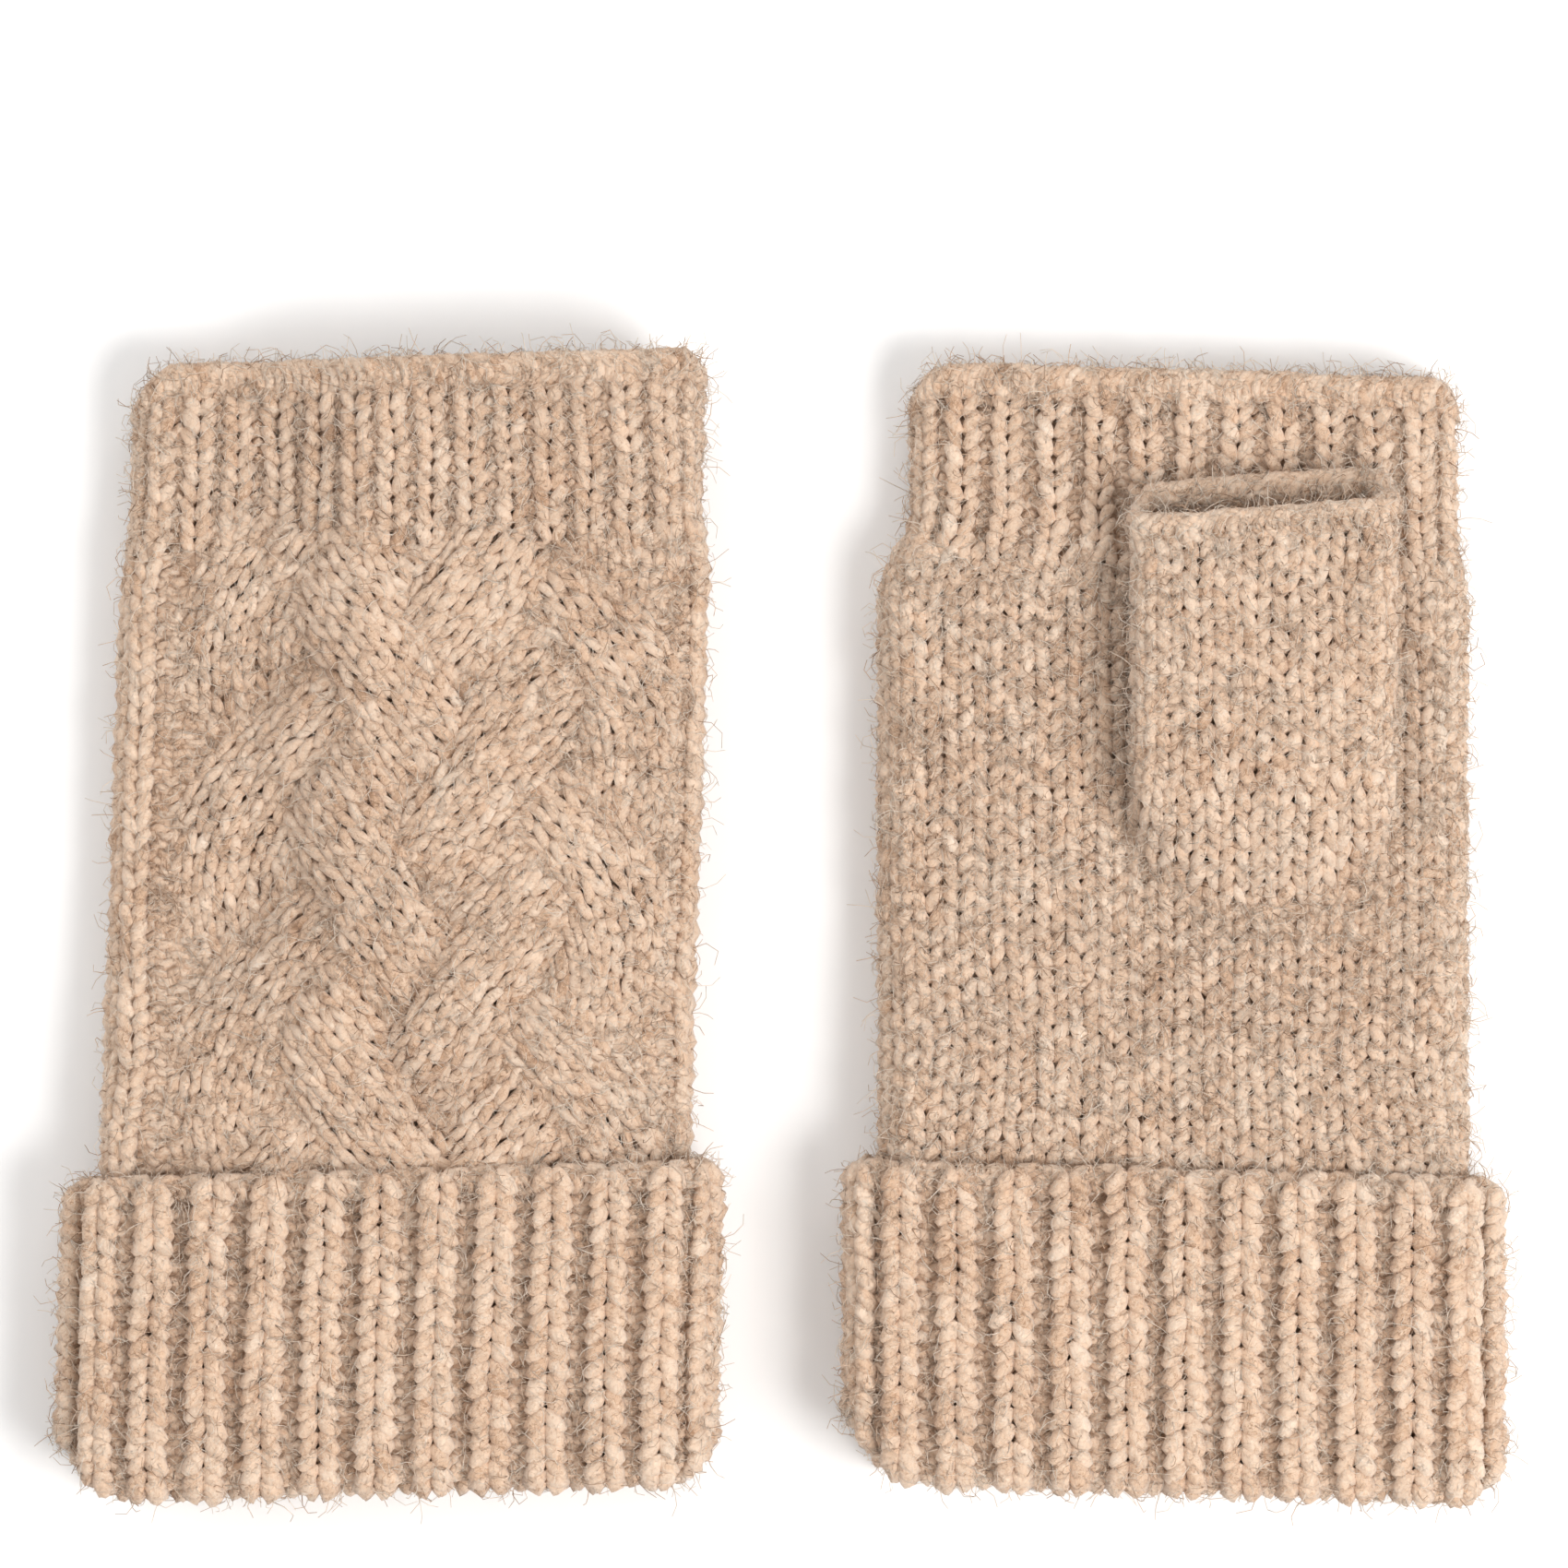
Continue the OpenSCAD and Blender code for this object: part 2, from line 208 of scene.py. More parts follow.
class Layer:
    """The outer surface of a knitted tube. u is the share of the way round, from the thumb side
    over the palm, v the height along Y on the centre line, and n the distance out from it."""

    ROUND = 192
    STEP = 1.0
    SOFTNESS = 2.5  # the measured rows are evened out along Y over about this far
    REACH = 8  # rows each way that take part in that
    CORNER_REACH = 16.0  # how far from an end its rounded corners still bend the rows
    FULLNESS = 0.62  # width of each rounded side edge, as a share of the tube's thickness

    def __init__(self, side, nodes, end_margins):
        self.side = side
        self.tree, self.low, self.high = cad_tree(nodes)
        self.measure_ends()
        self.v = np.arange(self.v_low, self.v_high + self.STEP, self.STEP)
        self.measure_rows(end_margins)
        self.measure_corners()
        self.build_grid()

    def end_y(self, x, sign, half):
        """Where the tube ends on a line of constant x, on its palm face (half 1) or back (-1)."""
        start = self.high[1] + 10 if sign > 0 else self.low[1] - 10
        heights = np.arange(self.low[2] + 0.4, self.high[2], 0.8)
        hits = np.array([first_hit(self.tree, (x, start, z), (0, -sign, 0), 1) for z in heights])
        if np.isnan(hits).all():
            return np.nan
        reached = heights[~np.isnan(hits)]
        hits = hits[~np.isnan(hits)]
        middle = (reached.min() + reached.max()) / 2
        chosen = hits[(reached - middle) * half * self.side >= 0]
        chosen = hits if len(chosen) == 0 else chosen
        return chosen.max() if sign > 0 else chosen.min()

    def measure_ends(self):
        """The straight line that each end follows across the middle of the tube."""
        width = self.high[0] - self.low[0]
        xs = np.linspace(self.low[0] + 0.25 * width, self.high[0] - 0.25 * width, 31)
        self.end_lines = {}
        for sign in (1, -1):
            for half in (1, -1):
                ys = filled([self.end_y(x, sign, half) for x in xs])
                self.end_lines[sign, half] = np.polyfit(xs, ys, 1)
        middle = (self.low[0] + self.high[0]) / 2
        self.v_low = float(np.polyval(self.end_lines[-1, 1], middle))
        self.v_high = float(np.polyval(self.end_lines[1, 1], middle))

    def measure_corners(self):
        """How far each end falls short of its line, from one side edge to the other."""
        self.end_xs, self.end_dips = {}, {}
        for sign, row in ((1, -1), (-1, 0)):
            xs = np.linspace(self.left[row] + 0.2, self.right[row] - 0.2, 81)
            self.end_xs[sign] = xs
            for half in (1, -1):
                ys = filled([self.end_y(x, sign, half) for x in xs])
                dips = np.clip((np.polyval(self.end_lines[sign, half], xs) - ys) * sign, 0, 14)
                for i in range(len(xs) // 2, len(xs) - 1):
                    dips[i + 1] = min(dips[i + 1], dips[i] + CORNER_STEP)
                    mirrored = len(xs) - 1 - i
                    dips[mirrored - 1] = min(dips[mirrored - 1], dips[mirrored] + CORNER_STEP)
                self.end_dips[sign, half] = dips

    def y_at(self, x, v, palm_share, corners=True):
        share = (v - self.v_low) / (self.v_high - self.v_low)
        y = 0
        for half, weight in ((1, palm_share), (-1, 1 - palm_share)):
            low = np.polyval(self.end_lines[-1, half], x)
            high = np.polyval(self.end_lines[1, half], x)
            part = low + (high - low) * share
            if corners:
                reach = min(self.CORNER_REACH, 0.45 * (self.v_high - self.v_low))
                high_dip = np.interp(x, self.end_xs[1], self.end_dips[1, half])
                low_dip = np.interp(x, self.end_xs[-1], self.end_dips[-1, half])
                part = part - high_dip * smooth(v, self.v_high - reach, self.v_high)
                part = part + low_dip * smooth(-v, -self.v_low - reach, -self.v_low)
            y = y + weight * part
        return y

    def measure_rows(self, end_margins):
        """Side edges, top and bottom of each row. Rows within a margin of an end copy its edge."""
        clamped = np.clip(self.v, self.v_low + end_margins[0], self.v_high - end_margins[1])
        heights = np.arange(self.low[2] + 0.25, self.high[2], 0.75)
        lefts, rights, tops, bottoms = [], [], [], []
        shares = np.linspace(0.0, 1.0, 41)
        for v in clamped:
            edges = []
            for sign, x0 in ((1, self.low[0]), (-1, self.high[0])):
                y = float(self.y_at(x0, v, 0.5, False))
                outside = x0 - sign * FAR
                hits = [first_hit(self.tree, (outside, y, z), (sign, 0, 0), 0) for z in heights]
                edges.append(np.nanmin(hits) if sign > 0 else np.nanmax(hits))
            lefts.append(edges[0])
            rights.append(edges[1])
            xs = edges[0] + (edges[1] - edges[0]) * shares
            spots = [(x, float(self.y_at(x, v, 0.5, False))) for x in xs]
            row_top, row_bottom = (
                np.array([first_hit(self.tree, (*s, z), (0, 0, way), 2) for s in spots], float)
                for z, way in ((self.high[2] + FAR, -1), (self.low[2] - FAR, 1)))
            halfway = (np.nanmax(row_top) + np.nanmin(row_bottom)) / 2
            tops.append(filled(np.where(row_top < halfway, np.nan, row_top)))
            bottoms.append(filled(np.where(row_bottom > halfway, np.nan, row_bottom)))
        spread = np.arange(-self.REACH, self.REACH + 1) * self.STEP / self.SOFTNESS
        kernel = np.exp(-0.5 * spread ** 2)
        kernel /= kernel.sum()

        def soften(rows):
            rows = np.asarray(rows, float)
            before, after = rows[:1].repeat(self.REACH, 0), rows[-1:].repeat(self.REACH, 0)
            padded = np.concatenate([before, rows, after])
            return sum(k * padded[i:i + len(rows)] for i, k in enumerate(kernel))

        self.left, self.right = soften(lefts), soften(rights)
        self.shares, self.top, self.bottom = shares, soften(tops), soften(bottoms)

    def build_grid(self):
        """A grid of points round the tube: half circles at the side edges, joined by flat faces."""
        count = len(self.v)
        width = self.right - self.left
        thick = (self.top - self.bottom)[:, len(self.shares) // 2]
        inset = np.clip(self.FULLNESS * thick / width, 0.02, 0.3)

        def height_at(surface, share):
            return np.array([np.interp(share[i], self.shares, surface[i]) for i in range(count)])

        left, right = ((height_at(self.top, share) - height_at(self.bottom, share)) / 2
                       for share in (inset, 1 - inset))
        arc = math.pi / 2 * (left + right).mean() / 2
        flat = float((width - left - right).mean())
        self.length = 4 * arc + 2 * flat

        u = np.arange(self.ROUND) / self.ROUND
        q = arc / self.length
        f = 0.5 - 2 * q
        parts = [u <= q, u <= q + f, u <= 0.5 + q, u <= 0.5 + q + f]
        turns = [u / q * 90, 90.0 + 0 * u, 90 + (u - q - f) / (2 * q) * 180, 270.0 + 0 * u]
        angle = np.radians(np.select(parts, turns, 270 + (u - 0.5 - q - f) / q * 90))
        places = [0 * u, (u - q) / f, 0 * u + 1, 1 - (u - 0.5 - q) / f]
        across = np.select(parts, places, 0 * u)
        start, end = self.right - right, self.left + left
        x = start[:, None] + (end - start)[:, None] * across
        share = (x - self.left[:, None]) / width[:, None]
        share = np.clip(share, inset[:, None], 1 - inset[:, None])
        top, bottom = height_at(self.top, share), height_at(self.bottom, share)
        radius = (top - bottom) / 2
        points = np.zeros((count, self.ROUND, 3))
        points[..., 0] = x + radius * np.cos(angle)
        points[..., 2] = (top + bottom) / 2 + self.side * radius * np.sin(angle)
        palm_share = (1 + np.sin(angle)) / 2
        heights = self.v[:, None] + 0 * x
        points[..., 1] = self.y_at(points[..., 0], heights, palm_share[None, :], corners=False)
        self.normals = self.outward(points)
        points[..., 1] = self.y_at(points[..., 0], heights, palm_share[None, :])
        self.points = points

    def outward(self, points):
        wrapped = np.concatenate([points[:, -1:], points, points[:, :1]], axis=1)
        along_u = wrapped[:, 2:] - wrapped[:, :-2]
        along_v = np.gradient(points, axis=0)
        return unit(np.cross(along_v, along_u)) * self.side

    def at(self, u, v):
        """Points and outward normals on the surface."""
        column = (np.asarray(u, float) % 1.0) * self.ROUND
        row = np.clip((np.asarray(v, float) - self.v[0]) / self.STEP, 0, len(self.v) - 1.001)
        c0, r0 = np.floor(column).astype(int), np.floor(row).astype(int)
        fc, fr = (column - c0)[..., None], (row - r0)[..., None]
        c0, c1 = c0 % self.ROUND, (c0 + 1) % self.ROUND
        result = []
        for table in (self.points, self.normals):
            low = table[r0, c0] * (1 - fc) + table[r0, c1] * fc
            high = table[r0 + 1, c0] * (1 - fc) + table[r0 + 1, c1] * fc
            result.append(low * (1 - fr) + high * fr)
        return result[0], unit(result[1])

    def place(self, u, v, n):
        """Points n out from the surface. Past an end, the tube goes on straight along Y."""
        points, normals = self.at(u, v)
        over = np.maximum(0, np.asarray(v) - self.v_high)[..., None]
        under = np.maximum(0, self.v_low - np.asarray(v))[..., None]
        points = points + (over - under) * np.array([0.0, 1.0, 0.0])
        return points + normals * np.asarray(n)[..., None], normals


GUSSET = 22.0  # how far below the thumb's base the palm begins to rise to it
GUSSET_TAPER = 0.8  # how much later it rises at the thumb's sides, as a share of GUSSET
GUSSET_SINK = 0.7  # how deep the rising fabric starts beneath the palm's stitches
GUSSET_STEPS = 80  # places across the palm where its surface is looked up


class GussetLayer:
    """The fabric in front of the thumb's base, which rises from the palm to the thumb's front."""

    def __init__(self, thumb, hand):
        self.thumb, self.hand = thumb, hand
        self.length, self.v_high = thumb.length, thumb.v_low
        self.palm_u = np.linspace(0.49, 0.01, GUSSET_STEPS)
        self.palm_x = hand.at(self.palm_u, np.full(GUSSET_STEPS, thumb.v_low))[0][:, 0]

    def place(self, u, v, n):
        v = np.asarray(v, float)
        base, base_normals = self.thumb.at(u, np.full(v.shape, self.v_high))
        palm, palm_normals = self.hand.at(np.interp(base[..., 0], self.palm_x, self.palm_u), v)
        edge = 4 * np.asarray(u) - 1  # from -1 to 1 across the palm side of the thumb
        start = self.v_high - GUSSET * (1 - GUSSET_TAPER * edge * edge)
        rise = smooth((v - start) / (self.v_high - start), 0, 1)[..., None]
        y = (base[..., 1] + v - self.v_high)[..., None]
        z = palm[..., 2:] + rise * (base[..., 2:] - palm[..., 2:])
        points = np.concatenate([base[..., :1], y, z], -1)
        normals = unit(palm_normals + rise * (base_normals - palm_normals))
        return points + normals * (np.asarray(n)[..., None] - GUSSET_SINK * (1 - rise)), normals


class FoldedLayer:
    """The cuff's outer surface, which goes on below v = 0 round the fold's lip and up inside."""

    def __init__(self, layer, depth):
        self.layer, self.lip = layer, depth / 2
        self.side, self.length = layer.side, layer.length
        self.v_low = -math.pi * self.lip
        self.v_high = layer.v_high - layer.v_low - self.lip

    def place(self, u, v, n):
        v = np.asarray(v, float)
        angle = np.clip(-v / self.lip, 0, math.pi)
        inside = np.maximum(0, -v - math.pi * self.lip)
        outer_v = self.layer.v_low + self.lip + np.maximum(v, 0) + inside - self.lip * np.sin(angle)
        inset = self.lip * (1 - np.cos(angle))
        points, normals = self.layer.at(u, outer_v)
        down = np.array([0.0, -1.0, 0.0])
        outward = normals * np.cos(angle)[..., None] + down * np.sin(angle)[..., None]
        points = points - normals * inset[..., None] + outward * np.asarray(n)[..., None]
        return points, outward


# Yarn: swept tubes collected into one mesh per piece
FLOOR_GAP = 0.05  # the fabric's own weight presses what lies on the floor flat
BAKE_MARGIN = 0.04  # empty share at the edge of each tube's cell on the bake map
TONE_WAVES, TONE_LENGTHS = 9, (4.0, 45.0)  # waves that make up a yarn's tone, and their lengths


def fibre_tone(along, rng):
    """How pale or brown the blended yarn is at each place along it, about -2 to 2."""
    length = rng.uniform(*TONE_LENGTHS, (len(along), 1, TONE_WAVES))
    phase = rng.uniform(0, 2 * math.pi, (len(along), 1, TONE_WAVES))
    waves = np.sin(2 * math.pi * along[..., None] / length + phase)
    return math.sqrt(2 / TONE_WAVES) * waves.sum(-1)


def grid_corners(low, high):
    """The four corners of each face from its low and high values along two directions."""
    (x0, y0), (x1, y1) = low, high
    return np.stack([np.stack([x0, y0], -1), np.stack([x1, y0], -1),
                     np.stack([x1, y1], -1), np.stack([x0, y1], -1)], -2)


class Tubes:
    """Swept tubes that become one mesh, with a map along the yarn and one for baking."""

    def __init__(self, seed):
        self.rng = np.random.default_rng(RANDOM_SEED + seed)
        self.verts, self.tones, self.faces, self.yarn_uv, self.cells = [], [], [], [], []
        self.count, self.strips = 0, 0

    def sweep(self, paths, normals, radii, sides=8, closed=False, keep=None, tone=None, rough=0.07):
        """Tubes along paths[tube, sample]. keep[tube, sample] is false where a tube is cut away,
        and rough is how lumpy a tube is, as a share of its radius."""
        tubes, samples, _ = paths.shape
        if closed:
            tangents = np.roll(paths, -1, 1) - np.roll(paths, 1, 1)
            steps = np.linalg.norm(np.roll(paths, -1, 1) - paths, axis=2)
        else:
            tangents = np.gradient(paths, axis=1)
            steps = np.linalg.norm(np.diff(paths, axis=1), axis=2)
        tangents = unit(tangents)
        across = unit(np.cross(tangents, normals))
        out = np.cross(across, tangents)
        along = np.concatenate([np.zeros((tubes, 1)), np.cumsum(steps, 1)], 1)
        if tone is None:
            tone = fibre_tone(along[:, :samples], self.rng)
        angle = 2 * math.pi * (np.arange(sides) + 0.5) / sides
        spread = radii[..., None, None] * np.stack([np.cos(angle), np.sin(angle)], -1)
        if rough:
            spread = spread * (1 + rough * self.rng.normal(size=(tubes, samples, sides, 1)))
        rings = (paths[:, :, None] + spread[..., :1] * across[:, :, None]
                 + spread[..., 1:] * out[:, :, None])
        rings[..., 2] = np.maximum(rings[..., 2], FLOOR_GAP)
        self.verts.append(rings.reshape(-1, 3))
        self.tones.append(np.repeat(tone.reshape(-1), sides))

        spans = samples if closed else samples - 1
        tube, span, side = np.indices((tubes, spans, sides))
        next_span, next_side = (span + 1) % samples, (side + 1) % sides
        base = tube * samples
        near, far = base + span, base + next_span
        quads = np.stack([near * sides + side, far * sides + side,
                          far * sides + next_side, near * sides + next_side], -1)
        yarn = grid_corners((along[tube, span], side / sides),
                            (along[tube, span + 1], (side + 1) / sides))
        margin = 1 - 2 * BAKE_MARGIN
        cell = grid_corners(
            (BAKE_MARGIN + margin * span / spans, BAKE_MARGIN + margin * side / sides),
            (BAKE_MARGIN + margin * (span + 1) / spans, BAKE_MARGIN + margin * (side + 1) / sides),
        )
        chosen = np.ones(span.shape, bool)
        if keep is not None:
            chosen = keep[tube, span] & keep[tube, next_span]
        self.add_faces(quads[chosen], yarn[chosen], cell[chosen], tube[chosen])
        if not closed:
            self.add_caps(tubes, samples, sides)
        self.count += rings.size // 3
        self.strips += tubes

    def add_caps(self, tubes, samples, sides):
        """Flat ends: one triangle for a fibre, or a strip of quads for a thicker yarn."""
        if sides == 3:
            picks = np.array([[0, 1, 2]])
        else:
            picks = np.array([[i, i + 1, sides - 2 - i, sides - 1 - i]
                              for i in range(sides // 2 - 1)])
        turn = 2 * math.pi * picks / sides
        spot = np.stack([np.cos(turn), np.sin(turn)], -1) * BAKE_MARGIN * 0.4
        ends = ((0, 1, BAKE_MARGIN / 2), (samples - 1, -1, 1 - BAKE_MARGIN / 2))
        for sample, order, centre in ends:
            rings = (np.arange(tubes) * samples + sample) * sides
            caps = rings[:, None, None] + picks[None, :, ::order]
            cells = np.broadcast_to(spot[None, :, ::order] + centre, caps.shape + (2,))
            which = np.broadcast_to(np.arange(tubes)[:, None], caps.shape[:2])
            corners = picks.shape[1]
            self.add_faces(caps.reshape(-1, corners), cells.reshape(-1, corners, 2) * 0,
                           cells.reshape(-1, corners, 2), which.reshape(-1))

    def add_faces(self, corners, yarn, cell, tube):
        self.faces.append(corners + self.count)
        self.yarn_uv.append(yarn)
        self.cells.append((cell, tube + self.strips))

    def bake_map(self):
        """Each tube gets its own cell, in as many columns as keep the cells from being slivers."""
        faces_long = max(1.0, sum(len(f) for f in self.faces) / max(self.strips, 1) / 8)
        columns = max(1, round(math.sqrt(self.strips / (3 * faces_long))))
        lines = math.ceil(self.strips / columns)
        result = []
        for cell, tube in self.cells:
            start = np.stack([tube % columns, tube // columns], -1)[:, None]
            result.append((start + cell) / np.array([columns, lines]))
        return result

    def mesh(self, name):
        verts = np.concatenate(self.verts) / PER_M
        sizes = np.concatenate([np.full(len(f), f.shape[1]) for f in self.faces])
        corners = np.concatenate([f.ravel() for f in self.faces])
        mesh = bpy.data.meshes.new(name)
        mesh.vertices.add(len(verts))
        mesh.vertices.foreach_set("co", verts.astype(np.float32).ravel())
        mesh.loops.add(len(corners))
        mesh.loops.foreach_set("vertex_index", corners.astype(np.int32))
        mesh.polygons.add(len(sizes))
        mesh.polygons.foreach_set("loop_start", (np.cumsum(sizes) - sizes).astype(np.int32))
        for title, parts in (("yarn", self.yarn_uv), ("OFBake", self.bake_map())):
            layer = mesh.uv_layers.new(name=title, do_init=False)
            values = np.concatenate([p.reshape(-1, 2) for p in parts])
            layer.data.foreach_set("uv", values.astype(np.float32).ravel())
        mesh.update(calc_edges=True)
        mesh.attributes.new("tone", "FLOAT", "POINT").data.foreach_set(
            "value", np.concatenate(self.tones).astype(np.float32))
        mesh.polygons.foreach_set("use_smooth", np.ones(len(sizes), bool))
        return add_object(name, mesh)


# Stitches
Fabric = namedtuple("Fabric", "row yarn depth")  # row's height, yarn's radius, its middle's depth
HAND = Fabric(row=2.95, yarn=1.25, depth=1.95)
FINGER_RIB = HAND._replace(row=2.8)
THUMB = HAND._replace(row=3.2)
CUFF = Fabric(row=2.75, yarn=1.5, depth=2.2)
WRIST = Fabric(row=3.0, yarn=1.2, depth=1.9)

STITCH_SAMPLES = 14
LEG_LENGTH = 0.82  # half the height of a loop, in rows
LEG_SPREAD = 0.23  # how far a loop's legs lean, in wales
LEG_THINNING = 0.13  # half of how much thinner the yarn is drawn where it passes behind
WALE_BLEND = 0.22  # share of a wale over which it eases into the next one's height
JITTER = 0.16  # how unevenly the loops lie
DRIFT_LENGTH, LIFT_LENGTH, NUDGE_LENGTH = 11.0, 9.0, 4.5


def loop_wave(t):
    """One row's yarn: how far across in wales, up in half loops and out in half depths it is at
    t wales."""
    across = t + LEG_SPREAD * np.sin(4 * math.pi * t)
    return across, -np.cos(2 * math.pi * t), -np.cos(4 * math.pi * t)


def leg_radius(t):
    """Yarn is plump along a loop's legs and drawn thin where it passes behind."""
    return 1 - LEG_THINNING * (1 + np.cos(4 * math.pi * t))


def knit(tubes, layer, start, wales, rows, fabric, seed, relief=0.8, recess=0.0, flip=1,
         samples=STITCH_SAMPLES, sides=6, closed=False, keep=None):
    """Rows of loops round a layer. wales holds each column's width, and 1 for a knit wale or -1 for
    a purl wale, which is sunk by recess. A loop's legs stand out by relief. flip turns the V's."""
    widths, ribs = (np.asarray(part, float) for part in wales)
    columns = len(widths)
    count = columns * samples + (0 if closed else 1)
    t = np.arange(count) / samples
    column = np.minimum(t.astype(int), columns - 1)
    local = t - column
    across, up, out = loop_wave(local)
    starts = start + np.concatenate([[0], np.cumsum(widths)[:-1]])
    distance = starts[column] + across * widths[column]
    neighbour = np.where(local < 0.5, column - 1, column + 1)
    neighbour = neighbour % columns if closed else np.clip(neighbour, 0, columns - 1)
    blend = 0.5 * (1 - smooth(np.minimum(local, 1 - local), 0, WALE_BLEND))
    rib = ribs[column] * (1 - blend) + ribs[neighbour] * blend
    sunk = recess * (1 - rib) / 2

    rows = np.asarray(rows, float)[:, None]
    drift, lift = Wander(seed, DRIFT_LENGTH), Wander(seed + 1, LIFT_LENGTH)
    nudge = Wander(seed + 2, NUDGE_LENGTH)
    wobble = JITTER * drift(distance, rows)
    u = (distance + wobble + 0.5 * JITTER * nudge(distance, 3 * rows)) / layer.length
    v = rows + flip * up * LEG_LENGTH * fabric.row + JITTER * lift(distance, rows)
    n = -fabric.depth - sunk + rib * relief * out + 0.8 * JITTER * nudge(distance + 7, 2 * rows)
    points, normals = layer.place(u, v, n)
    size = fabric.yarn * leg_radius(local) * (0.9 + 0.1 * rib)
    size = size * (1 + 0.07 * drift(3 * distance, 5 * rows))
    kept = None if keep is None else keep(points)
    tubes.sweep(points, normals, size, sides=sides, closed=closed, keep=kept)


def even_wales(length, pitch):
    count = max(1, round(length / pitch))
    return np.full(count, length / count), np.ones(count)


def rib_wales(length, knit_width, purl_width):
    """Knit and purl wales that fill length exactly."""
    pairs = max(1, round(length / (knit_width + purl_width)))
    scale = length / pairs / (knit_width + purl_width)
    return np.array([knit_width * scale, purl_width * scale] * pairs), np.array([1, -1] * pairs)


# The plait on the back
STRANDS, STRAND_WALES = 5, 7
LANE_PITCH, HALF_STEP_ROWS, CABLE_ROW = 15.5, 6, 3.0
ARM_PITCH = 20.5  # across the plait, from each line where its arms meet to the next
ZIGZAG, ZIGZAG_TOP = 3.6, 34.3  # how far those lines sway, and a height where it is to the right
STRAND_WALE = 3.45
CABLE_YARN = 1.08
CABLE_SAMPLES = 12
CABLE_RELIEF = 0.75
CABLE_JITTER, CABLE_JITTER_LENGTH = 0.2, 5.0
PLAIT_OFFSET = 3.75  # centre of the plait, towards the thumb side from the middle of the back
PLAIT_PHASE = 0.88  # how far its first crossing is on its way at the plait's start
OVER = 1.5  # how far a strand rises where it passes over, and sinks where it passes under
OVER_SHARPNESS = 1.5  # how quickly it goes from one to the other
STRAND_CROWN = 2.2
ROW_TILT = 0.5  # share of a strand's lean that its rows turn by
LANES = np.array([0, 1, 2, 3, 4, 4, 3, 2, 1, 0, 0], float)


def strand_lane(step):
    """Lane of a strand at a step of its ten-step round, with its turns eased."""
    reach = np.linspace(-0.4, 0.4, 9)
    return np.mean([np.interp((step + r) % 10, np.arange(11), LANES) for r in reach], axis=0)


def plait(halves, layer, middle, v_start, v_end, seed):
    """Five flat strands, each over one and under the next, shared out between two pieces."""
    rows = np.arange(v_start, v_end, CABLE_ROW)
    count = STRAND_WALES * CABLE_SAMPLES + 1
    t = np.arange(count) / CABLE_SAMPLES
    local = t - np.minimum(t.astype(int), STRAND_WALES - 1)
    across, up, out = loop_wave(local)
    across = across + (t - local)
    nudge = Wander(seed, CABLE_JITTER_LENGTH)
    half_step = CABLE_ROW * HALF_STEP_ROWS
    for strand in range(STRANDS):
        step = (rows - v_start) / half_step + 2 * strand + PLAIT_PHASE
        lane = strand_lane(step)[:, None]
        slope = (strand_lane(step + 0.05) - strand_lane(step - 0.05))[:, None] / 0.1
        lean = np.arctan(slope * LANE_PITCH / half_step)
        tilt = ROW_TILT * lean
        a = (across - STRAND_WALES / 2) * STRAND_WALE / np.cos(lean - tilt)
        b = up * LEG_LENGTH * CABLE_ROW / np.cos(lean)
        a = a + CABLE_JITTER * nudge(t * 3, rows[:, None])
        b = b + CABLE_JITTER * nudge(t * 3 + 40, rows[:, None])
        x = (lane - (STRANDS - 1) / 2) * LANE_PITCH + a * np.cos(tilt) + b * np.sin(lean)
        y = rows[:, None] - a * np.sin(tilt) + b * np.cos(lean)
        sway = ZIGZAG * np.cos(math.pi * (y - ZIGZAG_TOP) / half_step)
        arm = np.clip((x - sway) / ARM_PITCH + (STRANDS - 1) / 2, 0.5, STRANDS - 1.5)
        turn = np.clip(OVER_SHARPNESS * np.cos(math.pi * (arm - 0.5)), -1, 1)
        level = OVER * np.clip(slope, -1, 1) * turn
        edge = (2 * t / STRAND_WALES - 1) ** 2
        n = -HAND.depth + level + CABLE_RELIEF * out - STRAND_CROWN * edge
        points, normals = layer.place((middle + x) / layer.length, y, n)
        size = CABLE_YARN * leg_radius(local) * (1 + 0.08 * nudge(t * 7, 3 * rows[:, None]))
        halves[strand % 2].sweep(points, normals, size, sides=6)


# Materials
PALE = (0.94, 0.81, 0.68)
CREAM = (0.88, 0.70, 0.55)
BEIGE = (0.80, 0.59, 0.435)
TAN = (0.69, 0.465, 0.315)
BROWN = (0.46, 0.275, 0.17)
BODY_STOPS = [(0.16, BROWN), (0.32, TAN), (0.51, BEIGE), (0.76, CREAM), (1.0, PALE)]
PALM_STOPS = [(0.14, BROWN), (0.29, TAN), (0.48, BEIGE), (0.72, CREAM), (0.96, PALE)]
# The inside skin's ramp is a little darker than the body's and stops short of PALE. This is painted
# shade for the recesses between the stitches, where the skin shows.
SHADED_INNER_STOPS = [(0.15, BROWN), (0.32, TAN), (0.55, BEIGE), (0.8, CREAM)]
FUZZ_STOPS = [(0.10, BROWN), (0.22, TAN), (0.34, BEIGE), (0.56, PALE)]

ROUGHNESS, SHEEN, FUZZ_SHEEN, SHEEN_ROUGHNESS, SPECULAR = 0.85, 0.35, 0.1, 0.45, 0.2
TWIST = 0.16  # turns of the yarn in a millimetre
PLIES = 2.0
FIBRE_STRETCH = 0.35  # how far a millimetre along the yarn moves on in the fibres' pattern
PATCH_WEIGHT, SPECK_WEIGHT = 0.45, 0.45
RAMP_SHIFT = -0.02
PALE_FIBRES = ((520.0, 760.0), 0.31, 0.022)  # scales, offset as a share of a scale, and width
DARK_FIBRES = ((430.0, 640.0), 0.17, 0.016)
PLY_HEIGHT, FIBRE_HEIGHT, SPECK_HEIGHT, STRAY_HEIGHT = 0.12, 0.9, 0.5, 0.25


